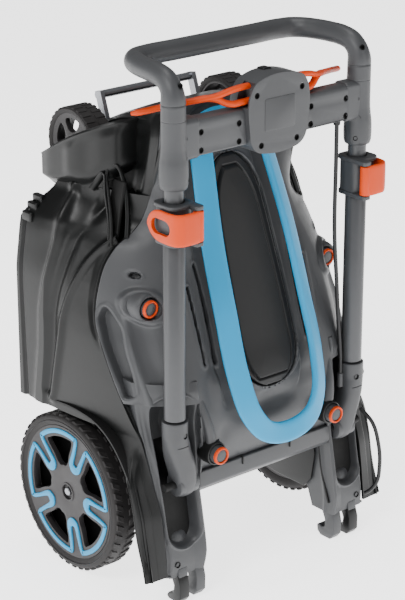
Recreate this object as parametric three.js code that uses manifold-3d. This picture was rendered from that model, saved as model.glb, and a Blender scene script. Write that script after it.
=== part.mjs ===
// Cordless walk-behind lawn mower, folded for storage and standing on its rear end.
// Millimetres, +Z up. X = 0 is the plane of symmetry, +Y is the side of the underside (blade),
// -Y is the side of the hood and the folded handle. The outer group moves the origin to the
// middle of the footprint of the whole machine.
import * as THREE from 'three';
import * as BGU from 'three/addons/utils/BufferGeometryUtils.js';
import Module from 'manifold-3d';

const wasm = await Module();
wasm.setup();

// ---------------------------------------------------------------- driving dimensions
const Y_SHIFT = 48.54;           // from the rear axle to the middle of the footprint
const R_REAR = 100, X_REAR_OUT = 190, X_REAR_IN = 155;      // rear wheels, axle at Y 0, Z 100
const R_FRONT = 45, X_FRONT_OUT = 131, X_FRONT_IN = 97, Y_FRONT = 55, Z_FRONT = 516;
const CRANK = [20, 45.8];        // from an axle to its crank pivot, in Y and Z
const X_TUBE = 140.6, Y_TUBE = -150.5, R_TUBE_OUT = 12.75, R_TUBE_IN = 11;
const PIVOT_Y = -148, PIVOT_Z = 150, X_PIVOT_IN = 107;      // handle fold pivot
const BLADE_Z = 335, R_CHAMBER = 158, R_BLADE = 148;
const LID_HINGE = [-75.4, 504];                              // Y, Z
const RING_TILT = 0.333;         // slope of the hood's top plane, Y per Z

// ---------------------------------------------------------------- solids
function solid(geo) {
  geo = geo.clone();
  for (const k of Object.keys(geo.attributes)) if (k !== 'position') geo.deleteAttribute(k);
  geo = BGU.mergeVertices(geo, 1e-3);
  const m = new wasm.Manifold(new wasm.Mesh({
    numProp: 3,
    vertProperties: new Float32Array(geo.attributes.position.array),
    triVerts: new Uint32Array(geo.index.array),
  }));
  if (m.volume() < 0) throw new Error('inside out solid');
  return m;
}
function geometryOf(man) {
  const mesh = man.getMesh();
  const g = new THREE.BufferGeometry();
  const n = mesh.vertProperties.length / mesh.numProp;
  const pos = new Float32Array(n * 3);
  for (let i = 0; i < n; i++) for (let k = 0; k < 3; k++) pos[i * 3 + k] = mesh.vertProperties[i * mesh.numProp + k];
  g.setAttribute('position', new THREE.BufferAttribute(pos, 3));
  g.setIndex(new THREE.BufferAttribute(new Uint32Array(mesh.triVerts), 1));
  return g;
}
const union = (...a) => a.reduce((p, q) => p.add(q));
const cut = (a, ...b) => b.reduce((p, q) => p.subtract(q), a);
const mirrorX = (m) => {
  const g = geometryOf(m);
  const p = g.attributes.position;
  for (let i = 0; i < p.count; i++) p.setX(i, -p.getX(i));
  const ix = g.index.array;
  for (let i = 0; i < ix.length; i += 3) { const t = ix[i]; ix[i] = ix[i + 1]; ix[i + 1] = t; }
  return solid(g);
};
function box(x0, x1, y0, y1, z0, z1) {
  const g = new THREE.BoxGeometry(x1 - x0, y1 - y0, z1 - z0);
  g.translate((x0 + x1) / 2, (y0 + y1) / 2, (z0 + z1) / 2);
  return solid(g);
}
// box whose vertices are carried to a curved place by f(u, v, w), each 0..1
function warped(nx, ny, nz, f) {
  const g = new THREE.BoxGeometry(1, 1, 1, nx, ny, nz);
  const p = g.attributes.position;
  for (let i = 0; i < p.count; i++) {
    const q = f(p.getX(i) + 0.5, p.getY(i) + 0.5, p.getZ(i) + 0.5);
    p.setXYZ(i, q[0], q[1], q[2]);
  }
  let m = null;
  const test = BGU.mergeVertices((() => { const c = g.clone(); c.deleteAttribute('normal'); c.deleteAttribute('uv'); return c; })(), 1e-3);
  let vol = 0;
  const P = test.attributes.position, I = test.index.array;
  const a = new THREE.Vector3(), b = new THREE.Vector3(), c = new THREE.Vector3();
  for (let i = 0; i < I.length; i += 3) {
    a.fromBufferAttribute(P, I[i]); b.fromBufferAttribute(P, I[i + 1]); c.fromBufferAttribute(P, I[i + 2]);
    vol += a.dot(b.cross(c)) / 6;
  }
  if (vol < 0) for (let i = 0; i < I.length; i += 3) { const t = I[i]; I[i] = I[i + 1]; I[i + 1] = t; }
  m = solid(test);
  return m;
}
// cylinder between two points
function rod(p0, p1, r, seg = 20, r2 = r) {
  const a = new THREE.Vector3(...p0), b = new THREE.Vector3(...p1);
  const d = b.clone().sub(a), L = d.length();
  const g = new THREE.CylinderGeometry(r2, r, L, seg);
  g.translate(0, L / 2, 0);
  g.applyQuaternion(new THREE.Quaternion().setFromUnitVectors(new THREE.Vector3(0, 1, 0), d.normalize()));
  g.translate(a.x, a.y, a.z);
  return solid(g);
}
// body of revolution about a line along X through (y, z); profile points are [radius, x]
function turned(profile, y, z, seg = 40) {
  const first = profile[0], last = profile[profile.length - 1];
  if ((first[0] > 0 || last[0] > 0) && (first[0] !== last[0] || first[1] !== last[1])) profile = [...profile, first];
  const g = new THREE.LatheGeometry(profile.map((q) => new THREE.Vector2(Math.max(q[0], 0), q[1])), seg);
  g.rotateZ(-Math.PI / 2);
  g.translate(0, y, z);
  let gg = g.clone(); gg.deleteAttribute('normal'); gg.deleteAttribute('uv');
  gg = BGU.mergeVertices(gg, 1e-3);
  const I = gg.index.array, P = gg.attributes.position;
  const keep = [];
  let vol = 0;
  const a = new THREE.Vector3(), b = new THREE.Vector3(), c = new THREE.Vector3();
  for (let i = 0; i < I.length; i += 3) {
    if (I[i] === I[i + 1] || I[i + 1] === I[i + 2] || I[i] === I[i + 2]) continue;
    keep.push(I[i], I[i + 1], I[i + 2]);
    a.fromBufferAttribute(P, I[i]); b.fromBufferAttribute(P, I[i + 1]); c.fromBufferAttribute(P, I[i + 2]);
    vol += a.dot(b.cross(c)) / 6;
  }
  if (vol < 0) for (let i = 0; i < keep.length; i += 3) { const t = keep[i]; keep[i] = keep[i + 1]; keep[i + 1] = t; }
  gg.setIndex(keep);
  return solid(gg);
}
// prism: outline in two axes, from lo to hi along the third ('x', 'y' or 'z')
function prism(axis, pts, lo, hi, bevel = 0) {
  const s = new THREE.Shape(pts.map((q) => new THREE.Vector2(q[0], q[1])));
  const g = new THREE.ExtrudeGeometry(s, bevel
    ? { depth: hi - lo - 2 * bevel, bevelEnabled: true, bevelThickness: bevel, bevelSize: bevel, bevelOffset: -bevel, bevelSegments: 1, curveSegments: 8 }
    : { depth: hi - lo, bevelEnabled: false, curveSegments: 8 });
  g.translate(0, 0, lo + bevel);
  const m = new THREE.Matrix4();
  // outline (a, b) becomes: x -> (y, z), y -> (x, z) and z -> (x, y)
  if (axis === 'x') m.set(0, 0, 1, 0, 1, 0, 0, 0, 0, 1, 0, 0, 0, 0, 0, 1);
  if (axis === 'y') m.set(1, 0, 0, 0, 0, 0, 1, 0, 0, 1, 0, 0, 0, 0, 0, 1);
  if (axis === 'z') m.identity();
  g.applyMatrix4(m);
  if (m.determinant() < 0) {
    const c = BGU.mergeVertices((() => { const k = g.clone(); k.deleteAttribute('normal'); k.deleteAttribute('uv'); return k; })(), 1e-3);
    const I = c.index.array;
    for (let i = 0; i < I.length; i += 3) { const t = I[i]; I[i] = I[i + 1]; I[i + 1] = t; }
    return solid(c);
  }
  return solid(g);
}
const roundRect = (x0, x1, y0, y1, r, n = 4) => {
  const out = [];
  for (const [cx, cy, a0] of [[x1 - r, y1 - r, 0], [x0 + r, y1 - r, 90], [x0 + r, y0 + r, 180], [x1 - r, y0 + r, 270]]) {
    for (let i = 0; i <= n; i++) { const a = (a0 + 90 * i / n) * Math.PI / 180; out.push([cx + r * Math.cos(a), cy + r * Math.sin(a)]); }
  }
  return out;
};
const circle = (cx, cy, r, n = 24) => Array.from({ length: n }, (_, i) => [cx + r * Math.cos(2 * Math.PI * i / n), cy + r * Math.sin(2 * Math.PI * i / n)]);
// tube along a smooth curve
function tube(pts, r, sides, steps, tension = 0.5) {
  const curve = new THREE.CatmullRomCurve3(pts.map((q) => new THREE.Vector3(...q)), false, 'centripetal', tension);
  const s = new THREE.Shape(circle(0, 0, r, sides).map((q) => new THREE.Vector2(q[0], q[1])));
  return solid(new THREE.ExtrudeGeometry(s, { steps, extrudePath: curve, bevelEnabled: false }));
}
const lerp = (a, b, t) => a + (b - a) * t;
function table(rows, z) {            // rows sorted by first column, linear between
  if (z <= rows[0][0]) return rows[0].slice(1);
  for (let i = 1; i < rows.length; i++) if (z <= rows[i][0]) {
    const t = (z - rows[i - 1][0]) / (rows[i][0] - rows[i - 1][0]);
    return rows[i].slice(1).map((v, k) => lerp(rows[i - 1][k + 1], v, t));
  }
  return rows[rows.length - 1].slice(1);
}

// ---------------------------------------------------------------- hood and deck section curves
const planeY = (z) => -95 - RING_TILT * (495 - z);       // top plane that the carry ring lies in
// Z, seam X, seam Y, deck middle X, Y, lower deck X, Y, rim X, rim Y
const SEAM = [
  [150, 162, -135], [194, 166, -125], [230, 172.6, -105], [275, 177.6, -80], [312, 179, -61], [330, 178, -51],
  [359, 173, -45], [391, 163.5, -45], [420, 146, -50], [435, 126, -56], [450, 114.5, -60], [482, 109, -70], [550, 105, -85], [580, 92, -78],
];
const RIM = [[205, 190], [363, 190], [400, 186], [435, 180], [452, 165], [466, 150], [500, 148], [520, 112], [560, 100], [588, 76]];
// hood centre Y and shoulder (X, Y)
const HOODC = [
  [150, -146, 110, -146], [200, -160, 112, -154], [250, -163.2, 116, -150], [300, -146.5, 121, -134], [357, -127.6, 118, -114],
  [420, -106.6, 98, -94], [482, -85.9, 82, -78], [540, -66.6, 72, -66], [568, -56, 66, -56], [582, -40, 60, -38],
];
// hood outline at height z: u 0..1 from the left seam over the centre to the right seam
function hoodAt(u, z, inset = 0) {
  const [xs, ys] = table(SEAM, z), [yc, xk, yk] = table(HOODC, z);
  const t = Math.abs(2 * u - 1);                          // 0 centre, 1 seam
  let x, y;
  if (t < 0.45) { const k = t / 0.45; x = xk * k; y = lerp(yc, yk, k * k); }
  else {
    const k = (t - 0.45) / 0.55;
    // quadratic from the shoulder to the seam, bulging outward
    const cx = lerp(xk, xs, 0.62), cy = lerp(yk, ys, 0.30);
    x = (1 - k) ** 2 * xk + 2 * k * (1 - k) * cx + k * k * xs;
    y = (1 - k) ** 2 * yk + 2 * k * (1 - k) * cy + k * k * ys;
  }
  // inward offset: towards the axis of the machine
  const s = Math.sign(2 * u - 1);
  const nx = Math.min(1, Math.max(0, (t - 0.35) / 0.65));
  return [s * (x - inset * nx), y + inset * (1 - 0.45 * nx), z];
}
// side wall of the deck at height z: v 0 at the seam, 1 at the rim (left side, negative X)
function sideAt(v, z, inset = 0) {
  const [xs, ys] = table(SEAM, z), [xr] = table(RIM, z);
  const yr = 86;
  const x1 = lerp(xs, xr, 0.62), x2 = lerp(xs, xr, 0.93);
  const y1 = lerp(ys, yr, 0.30), y2 = lerp(ys, yr, 0.62);
  const b = (t) => {
    const P = [[xs, ys], [x1, y1], [x2, y2], [xr, yr]];
    const c = [(1 - t) ** 3, 3 * t * (1 - t) ** 2, 3 * t * t * (1 - t), t ** 3];
    return [0, 1].map((k) => c[0] * P[0][k] + c[1] * P[1][k] + c[2] * P[2][k] + c[3] * P[3][k]);
  };
  const [x, y] = b(v);
  return [-(x - inset), y, z];
}

const G = new THREE.Group();
G.position.set(0, Y_SHIFT, 0);
const MAT = {
  black: { color: 0x2a2c2b, roughness: 0.6, metalness: 0.0 }, grey: { color: 0x5f6062, roughness: 0.6, metalness: 0.0 },
  blue: { color: 0x5bb5d1, roughness: 0.45, metalness: 0.0 }, orange: { color: 0xf07010, roughness: 0.45, metalness: 0.0 },
  tyre: { color: 0x2c2b2b, roughness: 0.85, metalness: 0.0 }, steel: { color: 0x8d8f92, roughness: 0.35, metalness: 0.9 },
  tube: { color: 0x67686a, roughness: 0.5, metalness: 0.3 }, pack: { color: 0x333538, roughness: 0.6, metalness: 0.0 },
};
const nodes = {};
function add(name, man, mat) {
  const m = new THREE.Mesh(geometryOf(man), new THREE.MeshStandardMaterial(MAT[mat]));
  m.name = name;
  G.add(m);
  nodes[name] = man;
}

// ---------------------------------------------------------------- deck shell
const NW = 7;
const wallL = warped(1, 5, NW, (u, v, w) => {
  const z = lerp(212, 470, w);
  const p = sideAt(lerp(0.03, 1, v), z, u * 4);
  return p;
});
// nose: closed front part of the deck between and above the front wheels
const noseRows = [[466, 96, -52, 84], [500, 92, -58, 84], [540, 88, -56, 84], [566, 82, -44, 82], [582, 70, -22, 74], [589, 52, 2, 60]];
const nose = warped(5, 2, 5, (u, v, w) => {
  const z = noseRows[Math.round(w * 5)][0];
  const [xm, y0, y1] = table(noseRows, z);
  const x = (2 * u - 1) * xm;
  const k = Math.abs(2 * u - 1) ** 3;
  return [x, lerp(y0 + 12 * k, y1 - 8 * k * (1 - w), v), z];
});
const noseIn = warped(5, 1, 4, (u, v, w) => {
  const z = [450, 500, 540, 562, 572][Math.round(w * 4)];
  const [xm, y0, y1] = table(noseRows, z);
  const x = (2 * u - 1) * (xm - 6);
  const k = Math.abs(2 * u - 1) ** 3;
  return [x, lerp(y0 + 6 + 12 * k, y1 + 8, v), z];
});
const deckPlate = prism('y', [[-176, 218], [-176, 300], [-172, 395], [-160, 425], [-128, 448], [-110, 470], [-84, 500], [84, 500], [110, 470], [128, 448], [160, 425], [172, 395], [176, 300], [176, 218], [120, 172], [-120, 172]], -16, -12);
const ring = cut(rod([0, -14, BLADE_Z], [0, 78, BLADE_Z], R_CHAMBER + 4, 28), rod([0, -12, BLADE_Z], [0, 90, BLADE_Z], R_CHAMBER, 28));
// wheel cups over the front wheels
const cupCut = prism('x', [[-20, 520], [-20, 700], [120, 700], [120, 486]], -200, 200);
const cupL = cut(
  union(turned([[0, -150], [54, -150], [58, -146], [58, -92], [0, -92]], Y_FRONT, Z_FRONT, 18)),
  turned([[0, -145], [53, -145], [53, -87], [0, -87]], Y_FRONT, Z_FRONT, 18),
  prism('x', [[-60, 566], [-60, 700], [130, 700], [130, 474]], -200, 0),
  box(-200, 0, 84, 200, 400, 700),
);
const cupBridge = warped(1, 3, 3, (u, v, w) => {          // joins a cup to the side wall
  const z = lerp(440, 474, w);
  const p = sideAt(lerp(0.35, 1, v), z, 0);
  return [p[0] + u * 18, Math.min(p[1], 83.5), z];
});
const teeth = union(...[[-184, 434], [-176, 443], [-168, 452]].map(([x, z]) => box(x, x + 12, 62, 84, z - 8, z + 5)));
// arm strip beside the leg and inside plate of each arm
const armOut = prism('x', [[84, 209], [-4, 214], [-60, 204], [-98, 188], [-123, 161], [-137, 101], [-150, 40], [-158, 40], [-149, 111], [-137, 152], [-127, 194], [-107, 230], [-92, 256], [-40, 256], [84, 256]], -190, -186.2);
const armFace = warped(2, 1, 6, (u, v, w) => {           // strip between the wheel arch and the leg
  const z = lerp(40, 258, w);
  const ya = table([[40, -150], [101, -137], [161, -123], [188, -98], [204, -60], [214, -30], [258, -30]], z)[0];
  const [xs, ys] = z > 150 ? table(SEAM, z) : table([[40, 161, -158], [111, 161, -148], [150, 162, -136]], z);
  const p = [lerp(-190, -xs, u), lerp(Math.min(ya, ys + 26), ys + 1, u ** 0.7), z];
  return [p[0], p[1] + v * 4, z];
});
const armIn = prism('x', [[-12, 68], [-108, 62], [-120, 62], [-128, 110], [-118, 150], [-100, 190], [-70, 230], [-12, 230], [-10, 180], [-10, 120]], -104, -100);
// lining of the wheel arch, from the outer skin to the inside plate
const armTie = prism('x', [[84, 209], [-4, 214], [-60, 204], [-94, 190], [-96, 195], [-62, 209], [-4, 219], [84, 214]], -188, -100);
const left = cut(union(wallL, cupL, cupBridge, teeth, armOut, armFace, armIn, armTie), rod([-145, Y_FRONT, Z_FRONT], [-90, Y_FRONT, Z_FRONT], 50, 18));
let deck = union(left, mirrorX(left), cut(nose, noseIn), deckPlate, ring);
// rear discharge channel, axle and crank clearances
deck = cut(deck,
  box(-70, 70, 2, 90, 160, 260),                               // discharge opening at the rear of the chamber
  rod([-200, Y_FRONT, Z_FRONT], [200, Y_FRONT, Z_FRONT], 7, 20),
  prism('x', [[48, 508], [48, 524], [108, 524], [108, 500]], -131, 131),
  box(-80, 80, 62, 100, 555, 573),
  rod([0, -30, BLADE_Z], [0, 20, BLADE_Z], 20, 24));
// room for the front wheels as the height cranks swing
const sweep = [];
for (let i = 0; i <= 3; i++) {
  const t = 0.83 * i / 3;
  const cy = Y_FRONT + CRANK[0] - CRANK[0] * Math.cos(t) + CRANK[1] * Math.sin(t), cz = Z_FRONT + CRANK[1] - CRANK[0] * Math.sin(t) - CRANK[1] * Math.cos(t);
  sweep.push(rod([-133, cy, cz], [-95.2, cy, cz], 47, 20));
}
const room = wasm.Manifold.hull(sweep);
deck = cut(deck, room, mirrorX(room));
add('deck_shell', deck, 'black');

// ---------------------------------------------------------------- hood cover
const hoodBody = warped(16, 1, 9, (u, v, w) => {
  const z = lerp(158, 574, w);
  const p = hoodAt(lerp(0.004, 0.996, u), z, v * 4);
  return p;
});
// lid opening in the hood, in the top plane
const lidOutline = (grow) => {
  const out = [];
  const zt = 512 + grow, zb = 246 - grow;
  const half = (z) => table([[246, 48], [300, 50], [420, 46], [512, 38]], z)[0] + grow;
  for (let i = 0; i <= 5; i++) { const a = Math.PI * i / 5; out.push([half(470) * Math.cos(a), zt - 34 + (34) * Math.sin(a)]); }
  for (const z of [420, 340]) out.push([-half(z), z]);
  for (let i = 0; i <= 5; i++) { const a = Math.PI + Math.PI * i / 5; out.push([half(280) * Math.cos(a), zb + 34 + 34 * Math.sin(a)]); }
  for (const z of [340, 420]) out.push([half(z), z]);
  return out;
};
const legSlot = (g) => prism('x', [[-104 + g, 262], [-104 + g, 140], [-220, 140], [-220, 262]], -165 - g, -100 + g);
// the opening is wider beside the hinge, where the lid's edge swings past
let hood = cut(hoodBody, prism('y', lidOutline(-3), -220, -30),
  prism('y', lidOutline(-0.4), -220, -30).intersect(box(-60, 60, -300, 0, 450, 600)));
hood = cut(hood, legSlot(0.5), mirrorX(legSlot(0.5)));
// button wells
const wells = union(rod([-139, -140, 357], [-139, -60, 357], 13, 24), rod([-92, -200, 183], [-92, -120, 183], 12.6, 24));
hood = cut(hood, wells, mirrorX(wells));
add('hood_cover', hood, 'grey');

// ---------------------------------------------------------------- legs, feet
const legL = (() => {
  const body = prism('x', [[-101, 262], [-112, 240], [-128, 200], [-141, 150], [-152, 100], [-161, 50], [-160, 36], [-128, 36], [-112, 70], [-104, 120], [-99, 180], [-92, 262]], -159.5, -104.5);
  const slot = prism('y', [...roundRect(-156, -109, 66, 300, 14, 3)], -240, -127);
  const deep = prism('y', [...roundRect(-152, -112, 92, 158, 10, 2)], -240, -108);
  const upper = box(-156, -109, -240, -104, 205, 300);
  const pinHole = rod([-152, PIVOT_Y, PIVOT_Z], [-112, PIVOT_Y, PIVOT_Z], 24, 24);
  return cut(body, slot, deep, upper);
})();
const footOut = prism('x', [[-161, 35.7], [-165, 22], [-165, 6], [-160, 0], [-142, 0], [-140, 6], [-152, 12], [-152, 22], [-146, 35.7]], -146, -131);
const footIn = prism('x', [[-158, 37.7], [-163, 22], [-163, 6], [-158, 0], [-138, 0], [-134, 6], [-134, 13], [-146, 14], [-146, 24], [-140, 37.7]], -119, -104.8);
add('left_outer_foot', footOut, 'black');
add('right_outer_foot', mirrorX(footOut), 'black');
const legWithFoot = union(legL, footIn);
add('left_leg_bracket', legWithFoot, 'grey');
add('right_leg_bracket', mirrorX(legWithFoot), 'grey');

// ---------------------------------------------------------------- carry ring (in the top plane)
function ringBand() {
  const N = 36, P = [];
  // outline of the middle of the band, X half width against Z
  const cl = [[0, 556], [30, 553], [44, 540], [49.5, 515], [52, 495], [59.5, 425], [62, 345], [61.5, 263], [55, 228], [38, 203], [18, 194], [0, 192]];
  const c = new THREE.CatmullRomCurve3([...cl.map(([x, z]) => new THREE.Vector3(x, 0, z)), ...cl.slice(1, -1).reverse().map(([x, z]) => new THREE.Vector3(-x, 0, z))], true, 'centripetal');
  const pts = c.getSpacedPoints(N).slice(0, N);
  const prof = circle(0, 0, 1, 8);
  const pos = [], idx = [];
  for (let i = 0; i < N; i++) {
    const a = pts[(i + N - 1) % N], b = pts[(i + 1) % N];
    const t = b.clone().sub(a).normalize();
    const n = new THREE.Vector3(t.z, 0, -t.x);
    for (const [pa, pb] of prof) {
      const x = pts[i].x + n.x * pa * 11, z = pts[i].z + n.z * pa * 11;
      const depth = 6.5;
      pos.push(x, planeY(z) - 0.5 + depth + pb * depth, z);
    }
  }
  for (let i = 0; i < N; i++) for (let k = 0; k < 8; k++) {
    const i2 = (i + 1) % N, k2 = (k + 1) % 8;
    const a = i * 8 + k, b = i * 8 + k2, c2 = i2 * 8 + k2, d = i2 * 8 + k;
    idx.push(a, b, c2, a, c2, d);
  }
  const g = new THREE.BufferGeometry();
  g.setAttribute('position', new THREE.BufferAttribute(new Float32Array(pos), 3));
  g.setIndex(idx);
  let m;
  try { m = solid(g); } catch (e) { m = null; }
  if (!m) { const f = []; for (let i = 0; i < idx.length; i += 3) f.push(idx[i + 1], idx[i], idx[i + 2]); g.setIndex(f); m = solid(g); }
  return m;
}
add('carry_ring', cut(ringBand(), box(-34.4, 34.4, -230, -150, 205.6, 245)), 'blue');

// ---------------------------------------------------------------- battery lid, tray, packs
const lidPlate = warped(4, 1, 4, (u, v, w) => {
  const z = lerp(250, 504, w);
  const x = (2 * u - 1) * 52;
  const yc = hoodAt(0.5, z)[1];
  return [x, yc - 4 + 2.2 * (x / 52) ** 2 + v * 5, z];
}).intersect(prism('y', lidOutline(-3.6), -240, 0));
add('battery_lid', lidPlate, 'black');
add('lid_hinge_pin', rod([-11, LID_HINGE[0], LID_HINGE[1]], [11, LID_HINGE[0], LID_HINGE[1]], 1.5, 10), 'steel');
const tray = cut(prism('x', [[-76, 476], [-138, 270], [-96, 262], [-52, 462]], -45, 45), prism('x', [[-200, 462], [-200, 276], [-100.5, 270.5], [-59, 455]], -42, 42));
add('battery_tray', tray, 'black');
const packAt = (x) => prism('x', [[-82, 448], [-118, 288], [-103, 282], [-67, 442]], x, x + 38, 1.5);
add('battery_pack_left', packAt(-40), 'pack');
add('battery_pack_right', packAt(2), 'pack');

// ---------------------------------------------------------------- motor and blade
add('motor_housing', cut(union(rod([0, -52, BLADE_Z], [0, -16.4, BLADE_Z], 48, 24), ...[0, 90, 180, 270].map((a) => rod([54 * Math.cos((a + 45) * Math.PI / 180), -22, BLADE_Z + 54 * Math.sin((a + 45) * Math.PI / 180)], [54 * Math.cos((a + 45) * Math.PI / 180), -16.4, BLADE_Z + 54 * Math.sin((a + 45) * Math.PI / 180)], 8, 8))), rod([0, -48, BLADE_Z], [0, 0, BLADE_Z], 30, 20)), 'black');
add('motor_rotor', union(rod([0, -44, BLADE_Z], [0, -20, BLADE_Z], 27, 18), rod([0, -44, BLADE_Z], [0, 49.7, BLADE_Z], 7, 16)), 'steel');
add('blade_carrier', cut(union(rod([0, 50, BLADE_Z], [0, 66, BLADE_Z], 22, 24), rod([0, 36, BLADE_Z], [0, 50, BLADE_Z], 13, 20)), rod([0, 30, BLADE_Z], [0, 50, BLADE_Z], 7.4, 16), rod([0, 45, BLADE_Z], [0, 70, BLADE_Z], 4.4, 12)), 'black');
const bladeFlat = prism('y', [[-148, 316], [-148, 340], [-132, 354], [-40, 354], [-22, 351], [22, 351], [40, 354], [120, 354], [148, 354], [148, 330], [132, 316], [40, 316], [22, 319], [-22, 319], [-40, 316]], 66.3, 69.3);
const bladeShape = cut(bladeFlat, rod([0, 60, BLADE_Z], [0, 80, BLADE_Z], 4.4, 12));
add('mower_blade', bladeShape, 'steel');
add('blade_bolt', union(rod([0, 69.6, BLADE_Z], [0, 76, BLADE_Z], 9.5, 6), rod([0, 52, BLADE_Z], [0, 70, BLADE_Z], 4, 12)), 'steel');

// ---------------------------------------------------------------- axle cranks
const crank = (y, z, xArm, xEnd, xPivot, stub = 0) => union(
  stub ? rod([-xArm, y, z], [xArm, y, z], 5, 12) : rod([-xPivot, y + CRANK[0], z + CRANK[1]], [xPivot, y + CRANK[0], z + CRANK[1]], 5, 12),
  ...(stub ? [-1, 1].map((s) => rod([s * stub, y + CRANK[0], z + CRANK[1]], [s * xArm, y + CRANK[0], z + CRANK[1]], 5, 12)) : []),
  ...[-1, 1].map((s) => union(
    prism('x', [[y - 6, z - 5], [y + 6, z - 6], [y + CRANK[0] + 4.5, z + CRANK[1] + 4], [y + CRANK[0] - 6, z + CRANK[1] + 6]], Math.min(s * xArm, s * (xArm - 6)), Math.max(s * xArm, s * (xArm - 6))),
    rod([s * (xArm - 3), y, z], [s * xEnd, y, z], 5, 14))));
add('rear_axle_crank', crank(0, 100, 150, 181, 150, 105), 'steel');
add('front_axle_crank', crank(Y_FRONT, Z_FRONT, 74, 125, 74), 'steel');

// ---------------------------------------------------------------- wheels
function rearWheel(s) {
  const side = s < 0 ? 'left' : 'right';
  const F = (m) => (s < 0 ? m : mirrorX(m));
  const y = 0, z = 100;
  // tyre
  let tyre = turned([[85.5, -187], [93, -189.5], [100, -184], [100, -161], [93, -155.2], [85.5, -156], [85.5, -187]], y, z, 30);
  add(`${side}_rear_tyre`, F(tyre), 'tyre');
  // rim: dished disc with five windows
  let rim = turned([[0, -186.5], [83.6, -186.5], [83.6, -158], [78, -158], [78, -179], [16, -179], [16, -160], [0, -160]], y, z, 24);
  const win = [];
  for (let i = 0; i < 5; i++) {
    const a = Math.PI / 2 + 2 * Math.PI * i / 5 + REAR_PHASE;
    const P = [];
    const da = 0.36;
    for (let k = 0; k <= 2; k++) { const b = a - da + 2 * da * k / 2; P.push([y + 68 * Math.cos(b), z + 68 * Math.sin(b)]); }
    P.push([y + 36 * Math.cos(a + 0.2), z + 36 * Math.sin(a + 0.2)], [y + 36 * Math.cos(a - 0.2), z + 36 * Math.sin(a - 0.2)]);
    win.push(prism('x', P, -192, -150));
  }
  rim = cut(rim, ...win, rod([-182, y, z], [-140, y, z], 5.35, 14));
  add(`${side}_rear_rim`, F(rim), 'black');
  // blue trim: five arcs and five narrow dips, one continuous raised line
  const parts = [];
  for (let i = 0; i < 5; i++) {
    const a = Math.PI / 2 + 2 * Math.PI * i / 5 + REAR_PHASE;
    const P = [], Q = [];
    const da = 0.50;
    for (let k = 0; k <= 3; k++) { const b = a - da + 2 * da * k / 3; P.push([y + 81.5 * Math.cos(b), z + 81.5 * Math.sin(b)]); Q.push([y + 74 * Math.cos(b), z + 74 * Math.sin(b)]); }
    parts.push(prism('x', [...P, ...Q.reverse()], -188.6, -186.9));
    // dip between two windows: U shape
    const c = a + Math.PI / 5;
    const R2 = (r, w) => [y + r * Math.cos(c) - w * Math.sin(c), z + r * Math.sin(c) + w * Math.cos(c)];
    parts.push(prism('x', [R2(80, -13), R2(79, -4.5), R2(44, -3), R2(44, 3), R2(79, 4.5), R2(80, 13), R2(70, 11), R2(39, 9), R2(35, 4), R2(35, -4), R2(39, -9), R2(70, -11)], -188.6, -186.9));
  }
  add(`${side}_rear_trim`, F(union(...parts)), 'blue');
}
const REAR_PHASE = 0.18;
rearWheel(-1);
rearWheel(1);
function frontWheel(s) {
  const side = s < 0 ? 'left' : 'right';
  const F = (m) => (s < 0 ? m : mirrorX(m));
  const y = Y_FRONT, z = Z_FRONT;
  const tyre = turned([[38, -129], [42, -131], [45, -127], [45, -101], [42, -97.2], [38, -98], [38, -129]], y, z, 24);
  add(`${side}_front_tyre`, F(tyre), 'tyre');
  let rim = turned([[0, -128], [37.6, -128], [37.6, -100], [34, -100], [34, -121], [9, -120], [9, -98], [0, -98]], y, z, 20);
  const win = [];
  for (let i = 0; i < 5; i++) {
    const a = Math.PI / 2 + 2 * Math.PI * i / 5;
    const P = [];
    for (let k = 0; k <= 1; k++) { const b = a - 0.42 + 0.84 * k; P.push([y + 31 * Math.cos(b), z + 31 * Math.sin(b)]); }
    P.push([y + 15 * Math.cos(a + 0.2), z + 15 * Math.sin(a + 0.2)], [y + 15 * Math.cos(a - 0.2), z + 15 * Math.sin(a - 0.2)]);
    win.push(prism('x', P, -140, -90));
  }
  rim = cut(rim, ...win, rod([-126.5, y, z], [-80, y, z], 5.4, 12));
  add(`${side}_front_rim`, F(rim), 'black');
}
frontWheel(-1);
frontWheel(1);

// ---------------------------------------------------------------- rear flap
add('rear_flap', cut(union(prism('x', [[-6, 150], [-2, 150], [40, 168], [80, 172], [80, 176], [38, 172], [-6, 155]], -68, 68), rod([-68, -6, 150], [68, -6, 150], 6, 16)), rod([-80, -6, 150], [80, -6, 150], 3.3, 12)), 'black');
add('flap_rod', rod([-105.6, -6, 150], [105.6, -6, 150], 3, 12), 'steel');
const rearBar = prism('x', [[-152, 157.5], [-152, 136], [-146, 130], [-110, 118], [-100, 118], [-100, 124], [-142, 140], [-146, 157.5]], -99.7, 99.7);
add('rear_bar', rearBar, 'grey');

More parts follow.
